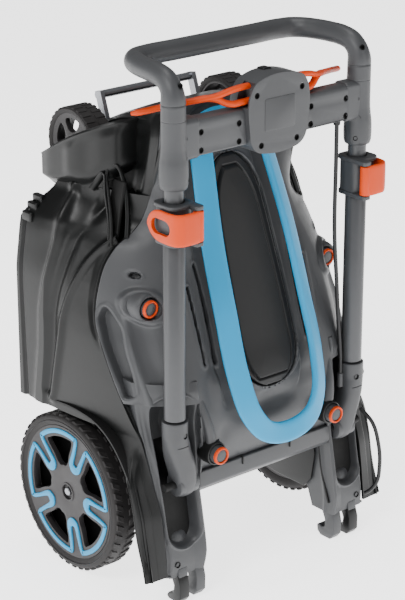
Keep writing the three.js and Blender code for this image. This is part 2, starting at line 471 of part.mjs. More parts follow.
// ---------------------------------------------------------------- lower handle
function lowerHandle(s) {
  const side = s < 0 ? 'left' : 'right';
  const F = (m) => (s < 0 ? m : mirrorX(m));
  const x = -X_TUBE, y = Y_TUBE;
  const tubeM = cut(rod([x, y, 236], [x, y, 493.4], R_TUBE_OUT, 14), rod([x, y, 230], [x, y, 500], R_TUBE_IN + 0.35, 14));
  add(`${side}_lower_tube`, F(tubeM), 'tube');
  // fitting: collar, body drawn inward, eye on the pivot pin
  const fit = cut(union(
    rod([x, y, 214], [x, y, 233.7], 15, 14),
    warped(1, 1, 4, (u, v, w) => {
      const z = lerp(150, 216, w);
      const cx = lerp(-126, x, w ** 0.8), hw = lerp(12.5, 13.5, w), hy = lerp(10.5, 13, w);
      return [cx + (2 * u - 1) * hw, lerp(PIVOT_Y, y, w) + (2 * v - 1) * hy, z];
    }),
    rod([-138.5, PIVOT_Y, PIVOT_Z], [-113.5, PIVOT_Y, PIVOT_Z], 15, 16),
    rod([x, y, 233], [x, y, 256], R_TUBE_IN - 0.3, 10),
    s > 0 ? rod([-122.5, y, 205], [-122.5, y, 222], 3.6, 10) : rod([x, y, 233], [x, y, 240], 5, 8),
    rod([x + 4, y - 8, 222], [x + 4, y - 15.5, 222], 4.5, 12),
  ), rod([-150, PIVOT_Y, PIVOT_Z], [-100, PIVOT_Y, PIVOT_Z], 5.4, 14));
  add(`${side}_handle_fitting`, F(fit), 'grey');
  add(`${side}_pivot_pin`, F(rod([-155.6, PIVOT_Y, PIVOT_Z], [-109.4, PIVOT_Y, PIVOT_Z], 5, 16)), 'steel');
  // clamp body round the tube
  const clamp = cut(union(
    prism('z', roundRect(-157, -124, -166, -134, 6, 2), 452, 499),
    prism('z', roundRect(-138, -124, -176, -158, 4, 1), 454, 497)),
  rod([x, y, 440], [x, y, 494], R_TUBE_OUT + 0.35, 14), rod([x, y, 440], [x, y, 520], R_TUBE_IN + 0.4, 14),
  box(-145, -130, -140, -100, 440, 520),
  rod([-128, -178.3, 440], [-128, -178.3, 520], 7.6, 14));
  add(`${side}_clamp_body`, F(clamp), 'grey');
  // quick lever: front plate, wraps round the outer side, with an oval hole
  const outline = [[-131.5, -184.5], [-155, -184.5], [-160.5, -181], [-162.5, -175], [-162.5, -130], [-158.5, -130], [-158.5, -174], [-156.5, -179], [-152, -180.5], [-131.5, -180.5]];
  const lever = cut(union(
    prism('z', outline, 457, 493),
    rod([-128, -178.3, 457], [-128, -178.3, 493], 6.2, 12),
    prism('z', [[-131.5, -184.5], [-131.5, -180.5], [-126, -176], [-126, -184]], 457, 493)),
  prism('x', roundRect(-166, -139, 466, 484, 8.5, 3), -170, -150),
  prism('x', [[-128, 440], [-141, 456.5], [-128, 474]], -170, -150),
  prism('x', [[-128, 510], [-141, 493.5], [-128, 476]], -170, -150),
  rod([-128, -178.3, 440], [-128, -178.3, 520], 2.9, 10));
  add(`${side}_clamp_lever`, F(lever), 'orange');
  add(`${side}_lever_pin`, F(rod([-128, -178.3, 452.5], [-128, -178.3, 498.5], 2.5, 12)), 'steel');
}
lowerHandle(-1);
lowerHandle(1);

// ---------------------------------------------------------------- upper handle
function upperHandle(s) {
  const side = s < 0 ? 'left' : 'right';
  const F = (m) => (s < 0 ? m : mirrorX(m));
  const x = -X_TUBE, y = Y_TUBE;
  add(`${side}_inner_tube`, F(cut(rod([x, y, 270], [x, y, 604], R_TUBE_IN, 14), rod([x, y, 260], [x, y, 610], R_TUBE_IN - 1.5, 10))), 'tube');
  const sleeve = cut(union(
    turned([[0, 514], [15, 514], [17, 518], [17, 540], [14.2, 556], [14.2, 609.7], [0, 609.7]], 0, 0, 16),
  ), rod([500, 0, 0], [606, 0, 0], R_TUBE_IN + 0.3, 14));
  // stand the turned sleeve upright on the tube
  const g = geometryOf(sleeve);
  g.rotateY(-Math.PI / 2);
  g.translate(x, y, 0);
  const up = solid(g);
  const tongue = prism('x', roundRect(-162, -138, 543, 594, 4, 1), -130, -117);
  add(`${side}_sleeve`, F(cut(union(up, tongue), rod([x, y, 500], [x, y, 606], R_TUBE_IN + 0.3, 14))), 'grey');
}
upperHandle(-1);
upperHandle(1);
const crossbar = cut(prism('x', roundRect(-161.5, -137, 547.7, 590, 5, 2), -116.6, 116.6), box(-44.5, 44.5, -200, -120, 500, 640));
const barL = crossbar.intersect(box(-200, 0, -300, 0, 0, 700)), barR = crossbar.intersect(box(0, 200, -300, 0, 0, 700));
add('left_crossbar', barL, 'grey');
add('right_crossbar', barR, 'grey');
const boxOutline = [[-44, 556], [-44, 606], [-34, 619], [-28, 621], [28, 621], [36, 618], [44, 606], [44, 556], [38, 541], [22, 534.5], [-20, 534.5], [-36, 541]];
let ctrl = prism('y', boxOutline, -168, -134, 2);
ctrl = cut(ctrl, rod([-60, -156, 597], [60, -156, 597], 5.2, 12), rod([-60, -153, 613], [60, -153, 613], 4.4, 10), box(-8, 8, -148, -100, 600, 640));
const barSlots = union(box(-60, -20, -166.3, -147, 590, 619), box(20, 60, -166.3, -147, 590, 619));
ctrl = cut(ctrl, barSlots);
add('control_box', ctrl, 'grey');
add('start_button', prism('y', roundRect(-7, 7, 606, 626, 3, 3), -147, -134.5), 'orange');
const gripPts = [[-X_TUBE, Y_TUBE, 611], [-X_TUBE, Y_TUBE + 1, 622], [-X_TUBE + 1, Y_TUBE + 14, 636], [-139, -120, 639], [-134, -86, 639.5], [-124, -62, 639.5], [-104, -53, 639.5],
  [-60, -53, 639.5], [0, -53, 639.5], [60, -53, 639.5], [104, -53, 639.5], [124, -62, 639.5], [134, -86, 639.5], [139, -120, 639], [X_TUBE - 1, Y_TUBE + 14, 636], [X_TUBE, Y_TUBE + 1, 622], [X_TUBE, Y_TUBE, 611]];
add('grip_bar', tube(gripPts, 12.3, 8, 30), 'grey');

// bail: one shaped bar with a wing on each side, hinged inside the control box
const wing = (s) => union(
  tube([[s * 157, -98, 591], [s * 132, -113, 596], [s * 104, -130, 601.5], [s * 74, -147.5, 606.5], [s * 60, -151, 610], [s * 46, -153, 613], [s * 28, -153, 613]], 4, 6, 8),
  tube([[s * 84, -142, 605], [s * 74, -147, 603], [s * 66, -150, 597.5], [s * 58, -153, 595.5], [s * 44, -156, 597], [s * 28, -156, 597]], 4, 6, 7));
const bail = union(wing(-1), wing(1), rod([-29, -156, 597], [29, -156, 597], 4, 8));
add('start_bail', bail, 'orange');

// ---------------------------------------------------------------- buttons
function buttons(s) {
  const side = s < 0 ? 'left' : 'right';
  const F = (m) => (s < 0 ? m : mirrorX(m));
  add(`${side}_height_button`, F(cut(rod([-139, -108, 357], [-139, -78, 357], 11, 16), rod([-139, -120, 357], [-139, -106.5, 357], 7, 12))), 'orange');
  add(`${side}_fold_button`, F(cut(rod([-92, -179, 183], [-92, -149, 183], 11, 16), rod([-92, -190, 183], [-92, -177.5, 183], 7, 12))), 'orange');
}
buttons(-1);
buttons(1);

// ---------------------------------------------------------------- cable on the right side
add('upper_cable', tube([[107, -150, 547.2], [107.2, -150, 500], [108, -150, 400], [113, -150, 345], [117.5, -150, 293], [121.5, -150.2, 255], [122.5, -150.5, 236], [122.5, -150.5, 222.4]], 2.5, 8, 16), 'black');
add('cable_loop', tube([[156.5, -153, 166], [163, -168, 150], [168, -176, 120], [170, -177, 90], [168, -174, 66], [163, -167, 54], [160, -162.5, 50]], 2.5, 8, 14), 'black');

export default G;
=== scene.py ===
"""Cordless walk-behind lawn mower, folded and standing on its rear end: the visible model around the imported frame."""
import math
import bpy
import bmesh
import numpy as np
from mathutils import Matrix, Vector


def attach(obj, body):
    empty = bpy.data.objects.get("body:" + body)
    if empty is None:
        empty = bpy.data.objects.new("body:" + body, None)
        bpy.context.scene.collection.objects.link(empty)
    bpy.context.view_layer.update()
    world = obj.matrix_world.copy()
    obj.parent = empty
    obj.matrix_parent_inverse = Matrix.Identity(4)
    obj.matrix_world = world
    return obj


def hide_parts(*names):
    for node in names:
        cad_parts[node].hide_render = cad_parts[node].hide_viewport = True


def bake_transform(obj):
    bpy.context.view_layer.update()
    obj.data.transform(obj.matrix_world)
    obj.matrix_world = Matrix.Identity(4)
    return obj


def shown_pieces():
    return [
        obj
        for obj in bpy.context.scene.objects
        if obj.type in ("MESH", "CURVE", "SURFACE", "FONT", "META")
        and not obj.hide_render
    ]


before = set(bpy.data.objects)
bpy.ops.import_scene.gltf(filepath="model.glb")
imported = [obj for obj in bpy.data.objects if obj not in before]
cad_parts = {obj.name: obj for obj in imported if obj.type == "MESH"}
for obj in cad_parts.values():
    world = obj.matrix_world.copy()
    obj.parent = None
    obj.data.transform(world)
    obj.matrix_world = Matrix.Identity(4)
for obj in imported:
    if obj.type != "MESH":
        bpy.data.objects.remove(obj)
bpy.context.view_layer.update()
YS = 48.54            # mm from the rear axle to the middle of the footprint
COL = bpy.context.scene.collection


# ------------------------------------------------------------------ materials
def lin(c):
    out = []
    for v in c:
        v = v / 255.0
        out.append(v / 12.92 if v <= 0.04045 else ((v + 0.055) / 1.055) ** 2.4)
    return tuple(out) + (1.0,)


def plastic(name, rgb, rough=0.5, grain=0.10, grain_scale=1100.0, var=0.10, edge=0.25, metallic=0.0, spec=0.5, coat=0.0, rvar=0.08, scratch=0.0):
    m = bpy.data.materials.new(name)
    m.use_nodes = True
    nt = m.node_tree
    N, L = nt.nodes, nt.links
    b = N["Principled BSDF"]
    b.inputs["Metallic"].default_value = metallic
    b.inputs["Specular IOR Level"].default_value = spec
    b.inputs["Coat Weight"].default_value = coat
    tc = N.new("ShaderNodeTexCoord")
    low = N.new("ShaderNodeTexNoise"); low.inputs["Scale"].default_value = 9.0; low.inputs["Detail"].default_value = 5.0
    mid = N.new("ShaderNodeTexNoise"); mid.inputs["Scale"].default_value = 140.0; mid.inputs["Detail"].default_value = 3.0
    fine = N.new("ShaderNodeTexNoise"); fine.inputs["Scale"].default_value = grain_scale; fine.inputs["Detail"].default_value = 2.0
    for t in (low, mid, fine):
        L.new(tc.outputs["Object"], t.inputs["Vector"])
    base = lin(rgb)
    dark = tuple(v * (1 - var) for v in base[:3]) + (1,)
    light = tuple(min(1, v * (1 + var)) for v in base[:3]) + (1,)
    ramp = N.new("ShaderNodeValToRGB")
    ramp.color_ramp.elements[0].position = 0.3; ramp.color_ramp.elements[0].color = dark
    ramp.color_ramp.elements[1].position = 0.7; ramp.color_ramp.elements[1].color = light
    L.new(low.outputs["Fac"], ramp.inputs["Fac"])
    # rubbed edges
    geo = N.new("ShaderNodeNewGeometry")
    pr = N.new("ShaderNodeMapRange"); pr.inputs["From Min"].default_value = 0.51; pr.inputs["From Max"].default_value = 0.60
    pr.inputs["To Min"].default_value = 0.0; pr.inputs["To Max"].default_value = edge
    L.new(geo.outputs["Pointiness"], pr.inputs["Value"])
    mul = N.new("ShaderNodeMath"); mul.operation = "MULTIPLY"
    L.new(pr.outputs["Result"], mul.inputs[0]); L.new(mid.outputs["Fac"], mul.inputs[1])
    mix = N.new("ShaderNodeMix"); mix.data_type = "RGBA"
    worn = tuple(min(1, v * 1.6 + 0.03) for v in base[:3]) + (1,)
    L.new(mul.outputs[0], mix.inputs[0]); L.new(ramp.outputs["Color"], mix.inputs[6]); mix.inputs[7].default_value = worn
    L.new(mix.outputs[2], b.inputs["Base Color"])
    rr = N.new("ShaderNodeMapRange"); rr.inputs["To Min"].default_value = rough - rvar; rr.inputs["To Max"].default_value = rough + rvar
    L.new(mid.outputs["Fac"], rr.inputs["Value"])
    L.new(rr.outputs["Result"], b.inputs["Roughness"])
    bump = N.new("ShaderNodeBump"); bump.inputs["Strength"].default_value = grain; bump.inputs["Distance"].default_value = 0.0004
    L.new(fine.outputs["Fac"], bump.inputs["Height"])
    L.new(bump.outputs["Normal"], b.inputs["Normal"])
    return m


M = dict(
    grey=plastic("moulded_grey", (58, 59, 61), 0.46, 0.14, 1300, 0.06, 0.30, spec=0.42),
    grey2=plastic("moulded_grey_smooth", (52, 53, 55), 0.40, 0.07, 1600, 0.05, spec=0.42),
    black=plastic("moulded_black", (11, 12, 12), 0.36, 0.12, 1200, 0.10, 0.30, spec=0.28),
    black2=plastic("moulded_black_matt", (12, 12, 12), 0.60, 0.12, 1000, 0.10, 0.2, spec=0.25),
    # near-black painted shade, put in openings where only shade would be seen
    void=plastic("unlit_recess", (3, 3, 3), 0.85, 0.02, 900, 0.05, 0.0, spec=0.05),
    lid=plastic("lid_satin_black", (22, 22, 23), 0.42, 0.10, 1500, 0.06, 0.15, spec=0.35),
    lidtop=plastic("lid_panel_grained", (27, 27, 27), 0.52, 0.24, 1800, 0.06, 0.12, spec=0.30),
    blue=plastic("carry_blue", (18, 142, 190), 0.42, 0.06, 1400, 0.03, 0.10, spec=0.28),
    orange=plastic("key_orange", (205, 62, 0), 0.45, 0.05, 1400, 0.03, 0.10, spec=0.22),
    tyre=plastic("tyre_soft_black", (30, 28, 28), 0.66, 0.35, 700, 0.14, 0.35, spec=0.28),
    rim=plastic("rim_charcoal", (42, 40, 41), 0.50, 0.14, 1300, 0.07, 0.2, spec=0.32),
    tube=plastic("tube_powder_grey", (66, 67, 69), 0.36, 0.20, 2200, 0.03, 0.15, metallic=0.2, spec=0.45),
    steel=plastic("bare_steel", (140, 142, 146), 0.34, 0.08, 900, 0.08, 0.2, metallic=0.95),
    # near-black for the screws, and painted shade on the walls of their wells
    screw=plastic("screw_dark", (6, 6, 6), 0.5, 0.05, 900, 0.1, 0.2, metallic=0.3, spec=0.2),
    pack=plastic("pack_black", (30, 31, 33), 0.5, 0.12, 1200, 0.08, spec=0.35),
    cable=plastic("cable_black", (24, 24, 25), 0.45, 0.12, 1500, 0.05, spec=0.35),
)
CAD_MAT = {}
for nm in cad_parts:
    k = "black"
    if nm in ("hood_cover", "rear_bar", "control_box", "grip_bar") or "crossbar" in nm or "sleeve" in nm or "clamp_body" in nm or "fitting" in nm or "leg_bracket" in nm: k = "grey"
    if "tube" in nm: k = "tube"
    if nm == "carry_ring" or "trim" in nm: k = "blue"
    if "button" in nm or "clamp_lever" in nm or nm == "start_bail": k = "orange"
    if "tyre" in nm: k = "tyre"
    if "rear_rim" in nm or "front_rim" in nm: k = "rim"
    if nm == "battery_lid": k = "lid"
    if "pin" in nm or nm in ("flap_rod", "rear_axle_crank", "front_axle_crank", "motor_rotor", "mower_blade", "blade_bolt"): k = "steel"
    if "pack" in nm: k = "pack"
    if "cable" in nm: k = "cable"
    if "pivot_pin" in nm: k = "black2"
    if nm in ("motor_housing", "battery_tray", "rear_flap", "blade_carrier"): k = "black2"
    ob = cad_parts[nm]
    if not ob.material_slots:
        ob.data.materials.append(M[k])
    for s in ob.material_slots:
        s.material = M[k]


# ------------------------------------------------------------------ mesh helpers (millimetres in, metres out)
def to_m(P):
    P = np.array(P, float)
    P[..., 1] += YS
    return P / 1000.0


def make(name, V, F, mat, body, rep=(), sharp=35.0, fix=True):
    me = bpy.data.meshes.new(name)
    me.from_pydata(to_m(V).tolist(), [], [tuple(int(i) for i in f) for f in F])
    me.validate()
    if fix:
        bm = bmesh.new(); bm.from_mesh(me)
        bmesh.ops.remove_doubles(bm, verts=bm.verts, dist=1e-6)
        bmesh.ops.recalc_face_normals(bm, faces=bm.faces)
        bm.to_mesh(me); bm.free()
    ob = bpy.data.objects.new(name, me)
    COL.objects.link(ob)
    for mm in (mat if isinstance(mat, (list, tuple)) else [mat]):
        me.materials.append(mm)
    me.shade_smooth()
    me.set_sharp_from_angle(angle=math.radians(sharp))
    if body:
        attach(ob, body)
    if rep:
        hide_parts(*rep)
    return ob


def bake(ob, sharp=35.0):
    """applies the modifiers"""
    dg = bpy.context.evaluated_depsgraph_get()
    me = bpy.data.meshes.new_from_object(ob.evaluated_get(dg))
    ob.modifiers.clear()
    ob.data = me
    me.shade_smooth()
    me.set_sharp_from_angle(angle=math.radians(sharp))
    return ob


def bevel(ob, w, seg=3, ang=32.0, sharp=35.0):
    m = ob.modifiers.new("b", "BEVEL")
    m.width = w / 1000.0; m.segments = seg; m.limit_method = "ANGLE"; m.angle_limit = math.radians(ang)
    m.use_clamp_overlap = True
    return bake(ob, sharp)


def cutter(V, F):
    return make("cut", V, F, M["black"], None)


def boolean(ob, *cs, op="DIFFERENCE", sharp=35.0):
    for c in cs:
        m = ob.modifiers.new("c", "BOOLEAN"); m.operation = op; m.object = c; m.solver = "EXACT"
    bake(ob, sharp)
    for c in cs:
        bpy.data.objects.remove(c, do_unlink=True)
    return ob


def prism_vf(axis, pts, lo, hi):
    n = len(pts)
    V = []
    for t in (lo, hi):
        for a, b in pts:
            V.append({"x": (t, a, b), "y": (a, t, b), "z": (a, b, t)}[axis])
    F = [list(range(n))[::-1], list(range(n, 2 * n))]
    for i in range(n):
        j = (i + 1) % n
        F.append([i, j, n + j, n + i])
    return V, F


def lathe_vf(prof, y, z, seg=96, x0=None):
    """profile [radius, x] closed loop, about the line along X through (y, z)"""
    V, F = [], []
    n = len(prof)
    for i in range(seg):
        a = 2 * math.pi * i / seg
        for r, x in prof:
            V.append((x, y + r * math.cos(a), z + r * math.sin(a)))
    for i in range(seg):
        i2 = (i + 1) % seg
        for k in range(n):
            k2 = (k + 1) % n
            if prof[k][0] < 1e-6 and prof[k2][0] < 1e-6:
                continue
            F.append([i * n + k, i * n + k2, i2 * n + k2, i2 * n + k])
    return V, F


def rod_vf(p0, p1, r, seg=40, r2=None):
    r2 = r if r2 is None else r2
    a, b = Vector(p0), Vector(p1)
    d = (b - a).normalized()
    u = d.orthogonal().normalized(); v = d.cross(u)
    V = []
    for p, q in ((a, r), (b, r2)):
        for i in range(seg):
            t = 2 * math.pi * i / seg
            V.append(tuple(p + u * (q * math.cos(t)) + v * (q * math.sin(t))))
    F = [list(range(seg))[::-1], list(range(seg, 2 * seg))]
    for i in range(seg):
        j = (i + 1) % seg
        F.append([i, j, seg + j, seg + i])
    return V, F


def spline(pts, n, closed=False):
    """centripetal-like Catmull-Rom through the points, n samples evenly spaced"""
    P = np.array(pts, float)
    m = len(P)
    out = []
    segs = m if closed else m - 1
    for i in range(segs):
        if closed:
            p0, p1, p2, p3 = P[(i - 1) % m], P[i], P[(i + 1) % m], P[(i + 2) % m]
        else:
            p1, p2 = P[i], P[i + 1]
            p0 = P[i - 1] if i > 0 else 2 * p1 - p2
            p3 = P[i + 2] if i + 2 < m else 2 * p2 - p1
        d1 = max(np.linalg.norm(p2 - p1), 1e-9); d0 = max(np.linalg.norm(p1 - p0), 1e-9); d2 = max(np.linalg.norm(p3 - p2), 1e-9)
        m1 = d1 * ((p1 - p0) / d0 * (d1 / (d0 + d1)) + (p2 - p1) / d1 * (d0 / (d0 + d1)))
        m2 = d1 * ((p2 - p1) / d1 * (d2 / (d1 + d2)) + (p3 - p2) / d2 * (d1 / (d1 + d2)))
        for t in np.linspace(0, 1, 24, endpoint=False):
            out.append((2 * t ** 3 - 3 * t ** 2 + 1) * p1 + (t ** 3 - 2 * t ** 2 + t) * m1 + (-2 * t ** 3 + 3 * t ** 2) * p2 + (t ** 3 - t ** 2) * m2)
    out.append(P[0] if closed else P[-1])
    out = np.array(out)
    s = np.concatenate([[0], np.cumsum(np.linalg.norm(np.diff(out, axis=0), axis=1))])
    q = np.linspace(0, s[-1], n + 1 if closed else n)
    if closed:
        q = q[:-1]
    return np.stack([np.interp(q, s, out[:, k]) for k in range(out.shape[1])], -1)


def sweep_vf(P, prof, scale=None, up=(0, 0, 1), closed=False, caps=True, offs=None):
    """profile [(a, b)] carried along P: a across (side), b along the up direction"""
    P = np.array(P, float); n = len(P)
    if closed:
        T = np.roll(P, -1, 0) - np.roll(P, 1, 0)
    else:
        T = np.gradient(P, axis=0)
    T /= np.linalg.norm(T, axis=1)[:, None]
    u = np.array(up, float); us = []
    if u.ndim == 1:
        cur = u - T[0] * (u @ T[0])
        if np.linalg.norm(cur) < 1e-6:
            cur = np.array([1.0, 0, 0]) - T[0] * T[0][0]
        cur /= np.linalg.norm(cur)
        for i in range(n):
            cur = cur - T[i] * (cur @ T[i]); cur /= np.linalg.norm(cur); us.append(cur.copy())
        us = np.array(us)
    else:
        us = u - T * np.sum(u * T, 1)[:, None]; us /= np.linalg.norm(us, axis=1)[:, None]
    side = np.cross(T, us)
    k = len(prof)
    V = []
    for i in range(n):
        sc = (1, 1) if scale is None else scale[i]
        sa, sb = (sc, sc) if np.isscalar(sc) else sc
        for a, b in prof:
            V.append(P[i] + side[i] * a * sa + us[i] * b * sb)
    F = []
    for i in range(n if closed else n - 1):
        i2 = (i + 1) % n
        for j in range(k):
            j2 = (j + 1) % k
            F.append([i * k + j, i * k + j2, i2 * k + j2, i2 * k + j])
    if not closed and caps:
        F.append(list(range(k))[::-1]); F.append(list(range((n - 1) * k, n * k)))
    return np.array(V), F


def circ(r, n=28, ry=None):
    ry = r if ry is None else ry
    return [(r * math.cos(2 * math.pi * i / n), ry * math.sin(2 * math.pi * i / n)) for i in range(n)]


def rrect(x0, x1, y0, y1, r, n=6):
    out = []
    for cx, cy, a0 in ((x1 - r, y1 - r, 0), (x0 + r, y1 - r, 90), (x0 + r, y0 + r, 180), (x1 - r, y0 + r, 270)):
        for i in range(n + 1):
            a = math.radians(a0 + 90 * i / n)
            out.append((cx + r * math.cos(a), cy + r * math.sin(a)))
    return out


def grid_vf(P, mask=None):
    """faces of a grid (nu, nv, 3); cells where mask is False are left out"""
    nu, nv = P.shape[:2]
    F = []
    for i in range(nu - 1):
        for j in range(nv - 1):
            if mask is None or mask[i, j]:
                a = i * nv + j
                F.append((a, a + nv, a + nv + 1, a + 1))
    return P.reshape(-1, 3), F


def normals(P):
    du = np.gradient(P, axis=0); dv = np.gradient(P, axis=1)
    n = np.cross(du, dv)
    return n / np.maximum(np.linalg.norm(n, axis=-1), 1e-9)[..., None]


def shell(name, P, thick, mat, body, rep=(), mask=None, flip=False, sharp=38.0):
    """closed shell: the grid P outside, thick mm deep, with its edge closed"""
    nu, nv = P.shape[:2]
    n = normals(P) * (-1 if flip else 1)
    Q = P - n * (np.asarray(thick)[..., None] if np.ndim(thick) else thick)
    V = np.concatenate([P.reshape(-1, 3), Q.reshape(-1, 3)])
    off = nu * nv
    ids = np.arange(nu * nv).reshape(nu, nv)
    m = np.ones((nu - 1, nv - 1), bool) if mask is None else mask
    a, b, c, d = ids[:-1, :-1][m], ids[1:, :-1][m], ids[1:, 1:][m], ids[:-1, 1:][m]
    quads = np.stack([a, b, c, d], 1)
    inner = np.stack([d, c, b, a], 1) + off
    from collections import Counter
    E = np.concatenate([quads[:, [0, 1]], quads[:, [1, 2]], quads[:, [2, 3]], quads[:, [3, 0]]])
    key = np.minimum(E[:, 0], E[:, 1]).astype(np.int64) * (off + 1) + np.maximum(E[:, 0], E[:, 1])
    uq, inv, cnt = np.unique(key, return_inverse=True, return_counts=True)
    B = E[cnt[inv] == 1]
    side = np.stack([B[:, 1], B[:, 0], B[:, 0] + off, B[:, 1] + off], 1)
    F = np.concatenate([quads, inner, side])
    used = np.unique(F); remap = -np.ones(len(V), int); remap[used] = np.arange(len(used))
    return make(name, V[used], remap[F].tolist(), mat, body, rep, sharp=sharp, fix=True)


def mirror(V):
    V = np.array(V, float).copy(); V[..., 0] *= -1
    return V


def flipF(F):
    return [list(f)[::-1] for f in F]


def both(name, vf, mat, bodyL, bodyR=None, repL=(), repR=(), bev=None, seg=3, sharp=35.0, cutL=None):
    """makes the left piece and its mirror image on the right"""
    obs = []
    for s in (-1, 1):
        V, F = vf
        if s > 0:
            V = mirror(V); F = flipF(F)
        side = "left" if s < 0 else "right"
        ob = make(side + "_" + name, V, F, mat, bodyL if s < 0 else (bodyR or bodyL), repL if s < 0 else repR, sharp=sharp)
        if cutL:
            cs = []
            for cv, cf in cutL:
                cs.append(cutter(mirror(cv) if s > 0 else cv, flipF(cf) if s > 0 else cf))
            boolean(ob, *cs, sharp=sharp)
        if bev:
            bevel(ob, bev, seg, sharp=sharp)
        obs.append(ob)
    return obs


def tab(rows, z):
    """smooth table look-up, first column the argument"""
    R = np.array(rows, float); x = R[:, 0]; z = np.asarray(z, float)
    zc = np.clip(z, x[0], x[-1]); i = np.clip(np.searchsorted(x, zc, side="right") - 1, 0, len(x) - 2)
    h = x[i + 1] - x[i]; t = (zc - x[i]) / h
    Y = R[:, 1:]
    d = np.diff(Y, axis=0) / np.diff(x)[:, None]
    m = np.zeros_like(Y); m[0] = d[0]; m[-1] = d[-1]
    a, b = d[:-1], d[1:]
    s = a + b
    hm = np.where(a * b > 0, 2 * a * b / np.where(s == 0, 1, s), 0)
    m[1:-1] = hm
    t_ = t[..., None]; h_ = h[..., None]
    return (2 * t_ ** 3 - 3 * t_ ** 2 + 1) * Y[i] + (t_ ** 3 - 2 * t_ ** 2 + t_) * h_ * m[i] + (-2 * t_ ** 3 + 3 * t_ ** 2) * Y[i + 1] + (t_ ** 3 - t_ ** 2) * h_ * m[i + 1]


def sstep(a, b, x):
    t = np.clip((np.asarray(x, float) - a) / (b - a), 0, 1)
    return t * t * (3 - 2 * t)


def dist_path(A, B, path):
    """distance from points (A, B) to a polyline"""
    path = np.array(path, float); best = np.full(np.shape(A), 1e9)
    for p, q in zip(path[:-1], path[1:]):
        d = q - p; L = d @ d
        t = np.clip(((A - p[0]) * d[0] + (B - p[1]) * d[1]) / L, 0, 1)
        best = np.minimum(best, np.hypot(A - p[0] - t * d[0], B - p[1] - t * d[1]))
    return best


def inside(A, B, poly):
    poly = np.array(poly, float); r = np.zeros(np.shape(A), bool)
    n = len(poly); j = n - 1
    for i in range(n):
        xi, yi = poly[i]; xj, yj = poly[j]
        with np.errstate(divide="ignore", invalid="ignore"):
            c = ((yi > B) != (yj > B)) & (A < (xj - xi) * (B - yi) / (yj - yi + 1e-12) + xi)
        r ^= c; j = i
    return r


def signed(A, B, poly):
    """positive inside a closed outline"""
    P = list(map(tuple, poly)); d = dist_path(A, B, P + [P[0]])
    return np.where(inside(A, B, P), d, -d)


def screw(name, p, axis, body, r=3.2, depth=4.0):
    """a sunk screw seen as a dark well with a small round dip in the middle; axis points out of the surface"""
    a = Vector(axis).normalized(); c = Vector(p)
    u = a.orthogonal().normalized(); v = a.cross(u)
    V, F = [], []
    # collar, well walls and floor all take the near-black screw colour: on the walls of the well it is painted shade,
    # on the floor it is the dark screw
    prof = [(r * 1.12, 0.55), (r * 0.98, 0.75), (r * 0.86, 0.35), (r * 0.82, -depth * 0.3), (r * 0.45, -depth * 0.32), (r * 0.36, -depth * 0.5), (0.0, -depth * 0.5)]
    n = 24
    for q, h in prof:
        for i in range(n):
            t = 2 * math.pi * i / n
            V.append(tuple(c + a * h + u * (q * math.cos(t)) + v * (q * math.sin(t))))
    for k in range(len(prof) - 1):
        for i in range(n):
            j = (i + 1) % n
            F.append([k * n + i, k * n + j, (k + 1) * n + j, (k + 1) * n + i])
    return make(name, V, F, M["screw"], body)


# ------------------------------------------------------------------ surfaces of hood and deck
SEAM = [[40, 160.5, -159], [111, 160.5, -149], [150, 162, -136], [194, 166, -125], [230, 172.6, -105], [275, 177.6, -80], [312, 179, -61], [330, 178, -51],
        [359, 173, -45], [391, 163.5, -45], [420, 146, -50], [435, 126, -56], [450, 114.5, -60], [482, 109, -70], [550, 105, -85], [580, 92, -78]]
RIM = [[205, 190], [363, 190], [400, 186], [435, 180], [452, 165], [466, 152], [480, 148], [520, 112], [560, 103], [588, 86]]
HOODC = [[150, -146, 110, -146], [200, -160, 112, -154], [250, -163.2, 116, -150], [300, -146.5, 121, -134], [357, -127.6, 118, -114],
         [420, -106.6, 98, -94], [482, -85.9, 82, -78], [540, -66.6, 72, -66], [568, -56, 66, -56], [582, -40, 60, -38]]


def hoodP(u, z):
    u = np.asarray(u, float); z = np.asarray(z, float) + 0 * u
    s = tab(SEAM, z); c = tab(HOODC, z)
    xs, ys = s[..., 0], s[..., 1]; yc, xk, yk = c[..., 0], c[..., 1], c[..., 2]
    t = np.abs(2 * u - 1)
    k = t / 0.45
    xa = xk * k; ya = yc + (yk - yc) * k * k
    k2 = np.clip((t - 0.45) / 0.55, 0, 1)
    cx = xk + (xs - xk) * 0.62; cy = yk + (ys - yk) * 0.30
    xb = (1 - k2) ** 2 * xk + 2 * k2 * (1 - k2) * cx + k2 ** 2 * xs
    yb = (1 - k2) ** 2 * yk + 2 * k2 * (1 - k2) * cy + k2 ** 2 * ys
    x = np.where(t < 0.45, xa, xb); y = np.where(t < 0.45, ya, yb)
    return np.stack([np.sign(2 * u - 1) * x, y, z], -1)


def sideP(v, z):
    v = np.asarray(v, float); z = np.asarray(z, float) + 0 * v
    s = tab(SEAM, z); xr = tab(RIM, z)[..., 0]
    xs, ys = s[..., 0], s[..., 1]; yr = 86.0
    x1 = xs + (xr - xs) * 0.62; x2 = xs + (xr - xs) * 0.93
    y1 = ys + (yr - ys) * 0.30; y2 = ys + (yr - ys) * 0.62
    c = [(1 - v) ** 3, 3 * v * (1 - v) ** 2, 3 * v * v * (1 - v), v ** 3]
    return np.stack([-(c[0] * xs + c[1] * x1 + c[2] * x2 + c[3] * xr), c[0] * ys + c[1] * y1 + c[2] * y2 + c[3] * yr, z], -1)


def smooth1(P, w=3, ax=0, times=2):
    for _ in range(times):
        Q = P.copy()
        sl = [slice(None)] * P.ndim; lo = list(sl); hi = list(sl); mi = list(sl)
        mi[ax] = slice(1, -1); lo[ax] = slice(0, -2); hi[ax] = slice(2, None)
        Q[tuple(mi)] = 0.5 * P[tuple(mi)] + 0.25 * (P[tuple(lo)] + P[tuple(hi)])
        P = Q
    return P


def planeY(z):
    return -95 - 0.333 * (495 - z)


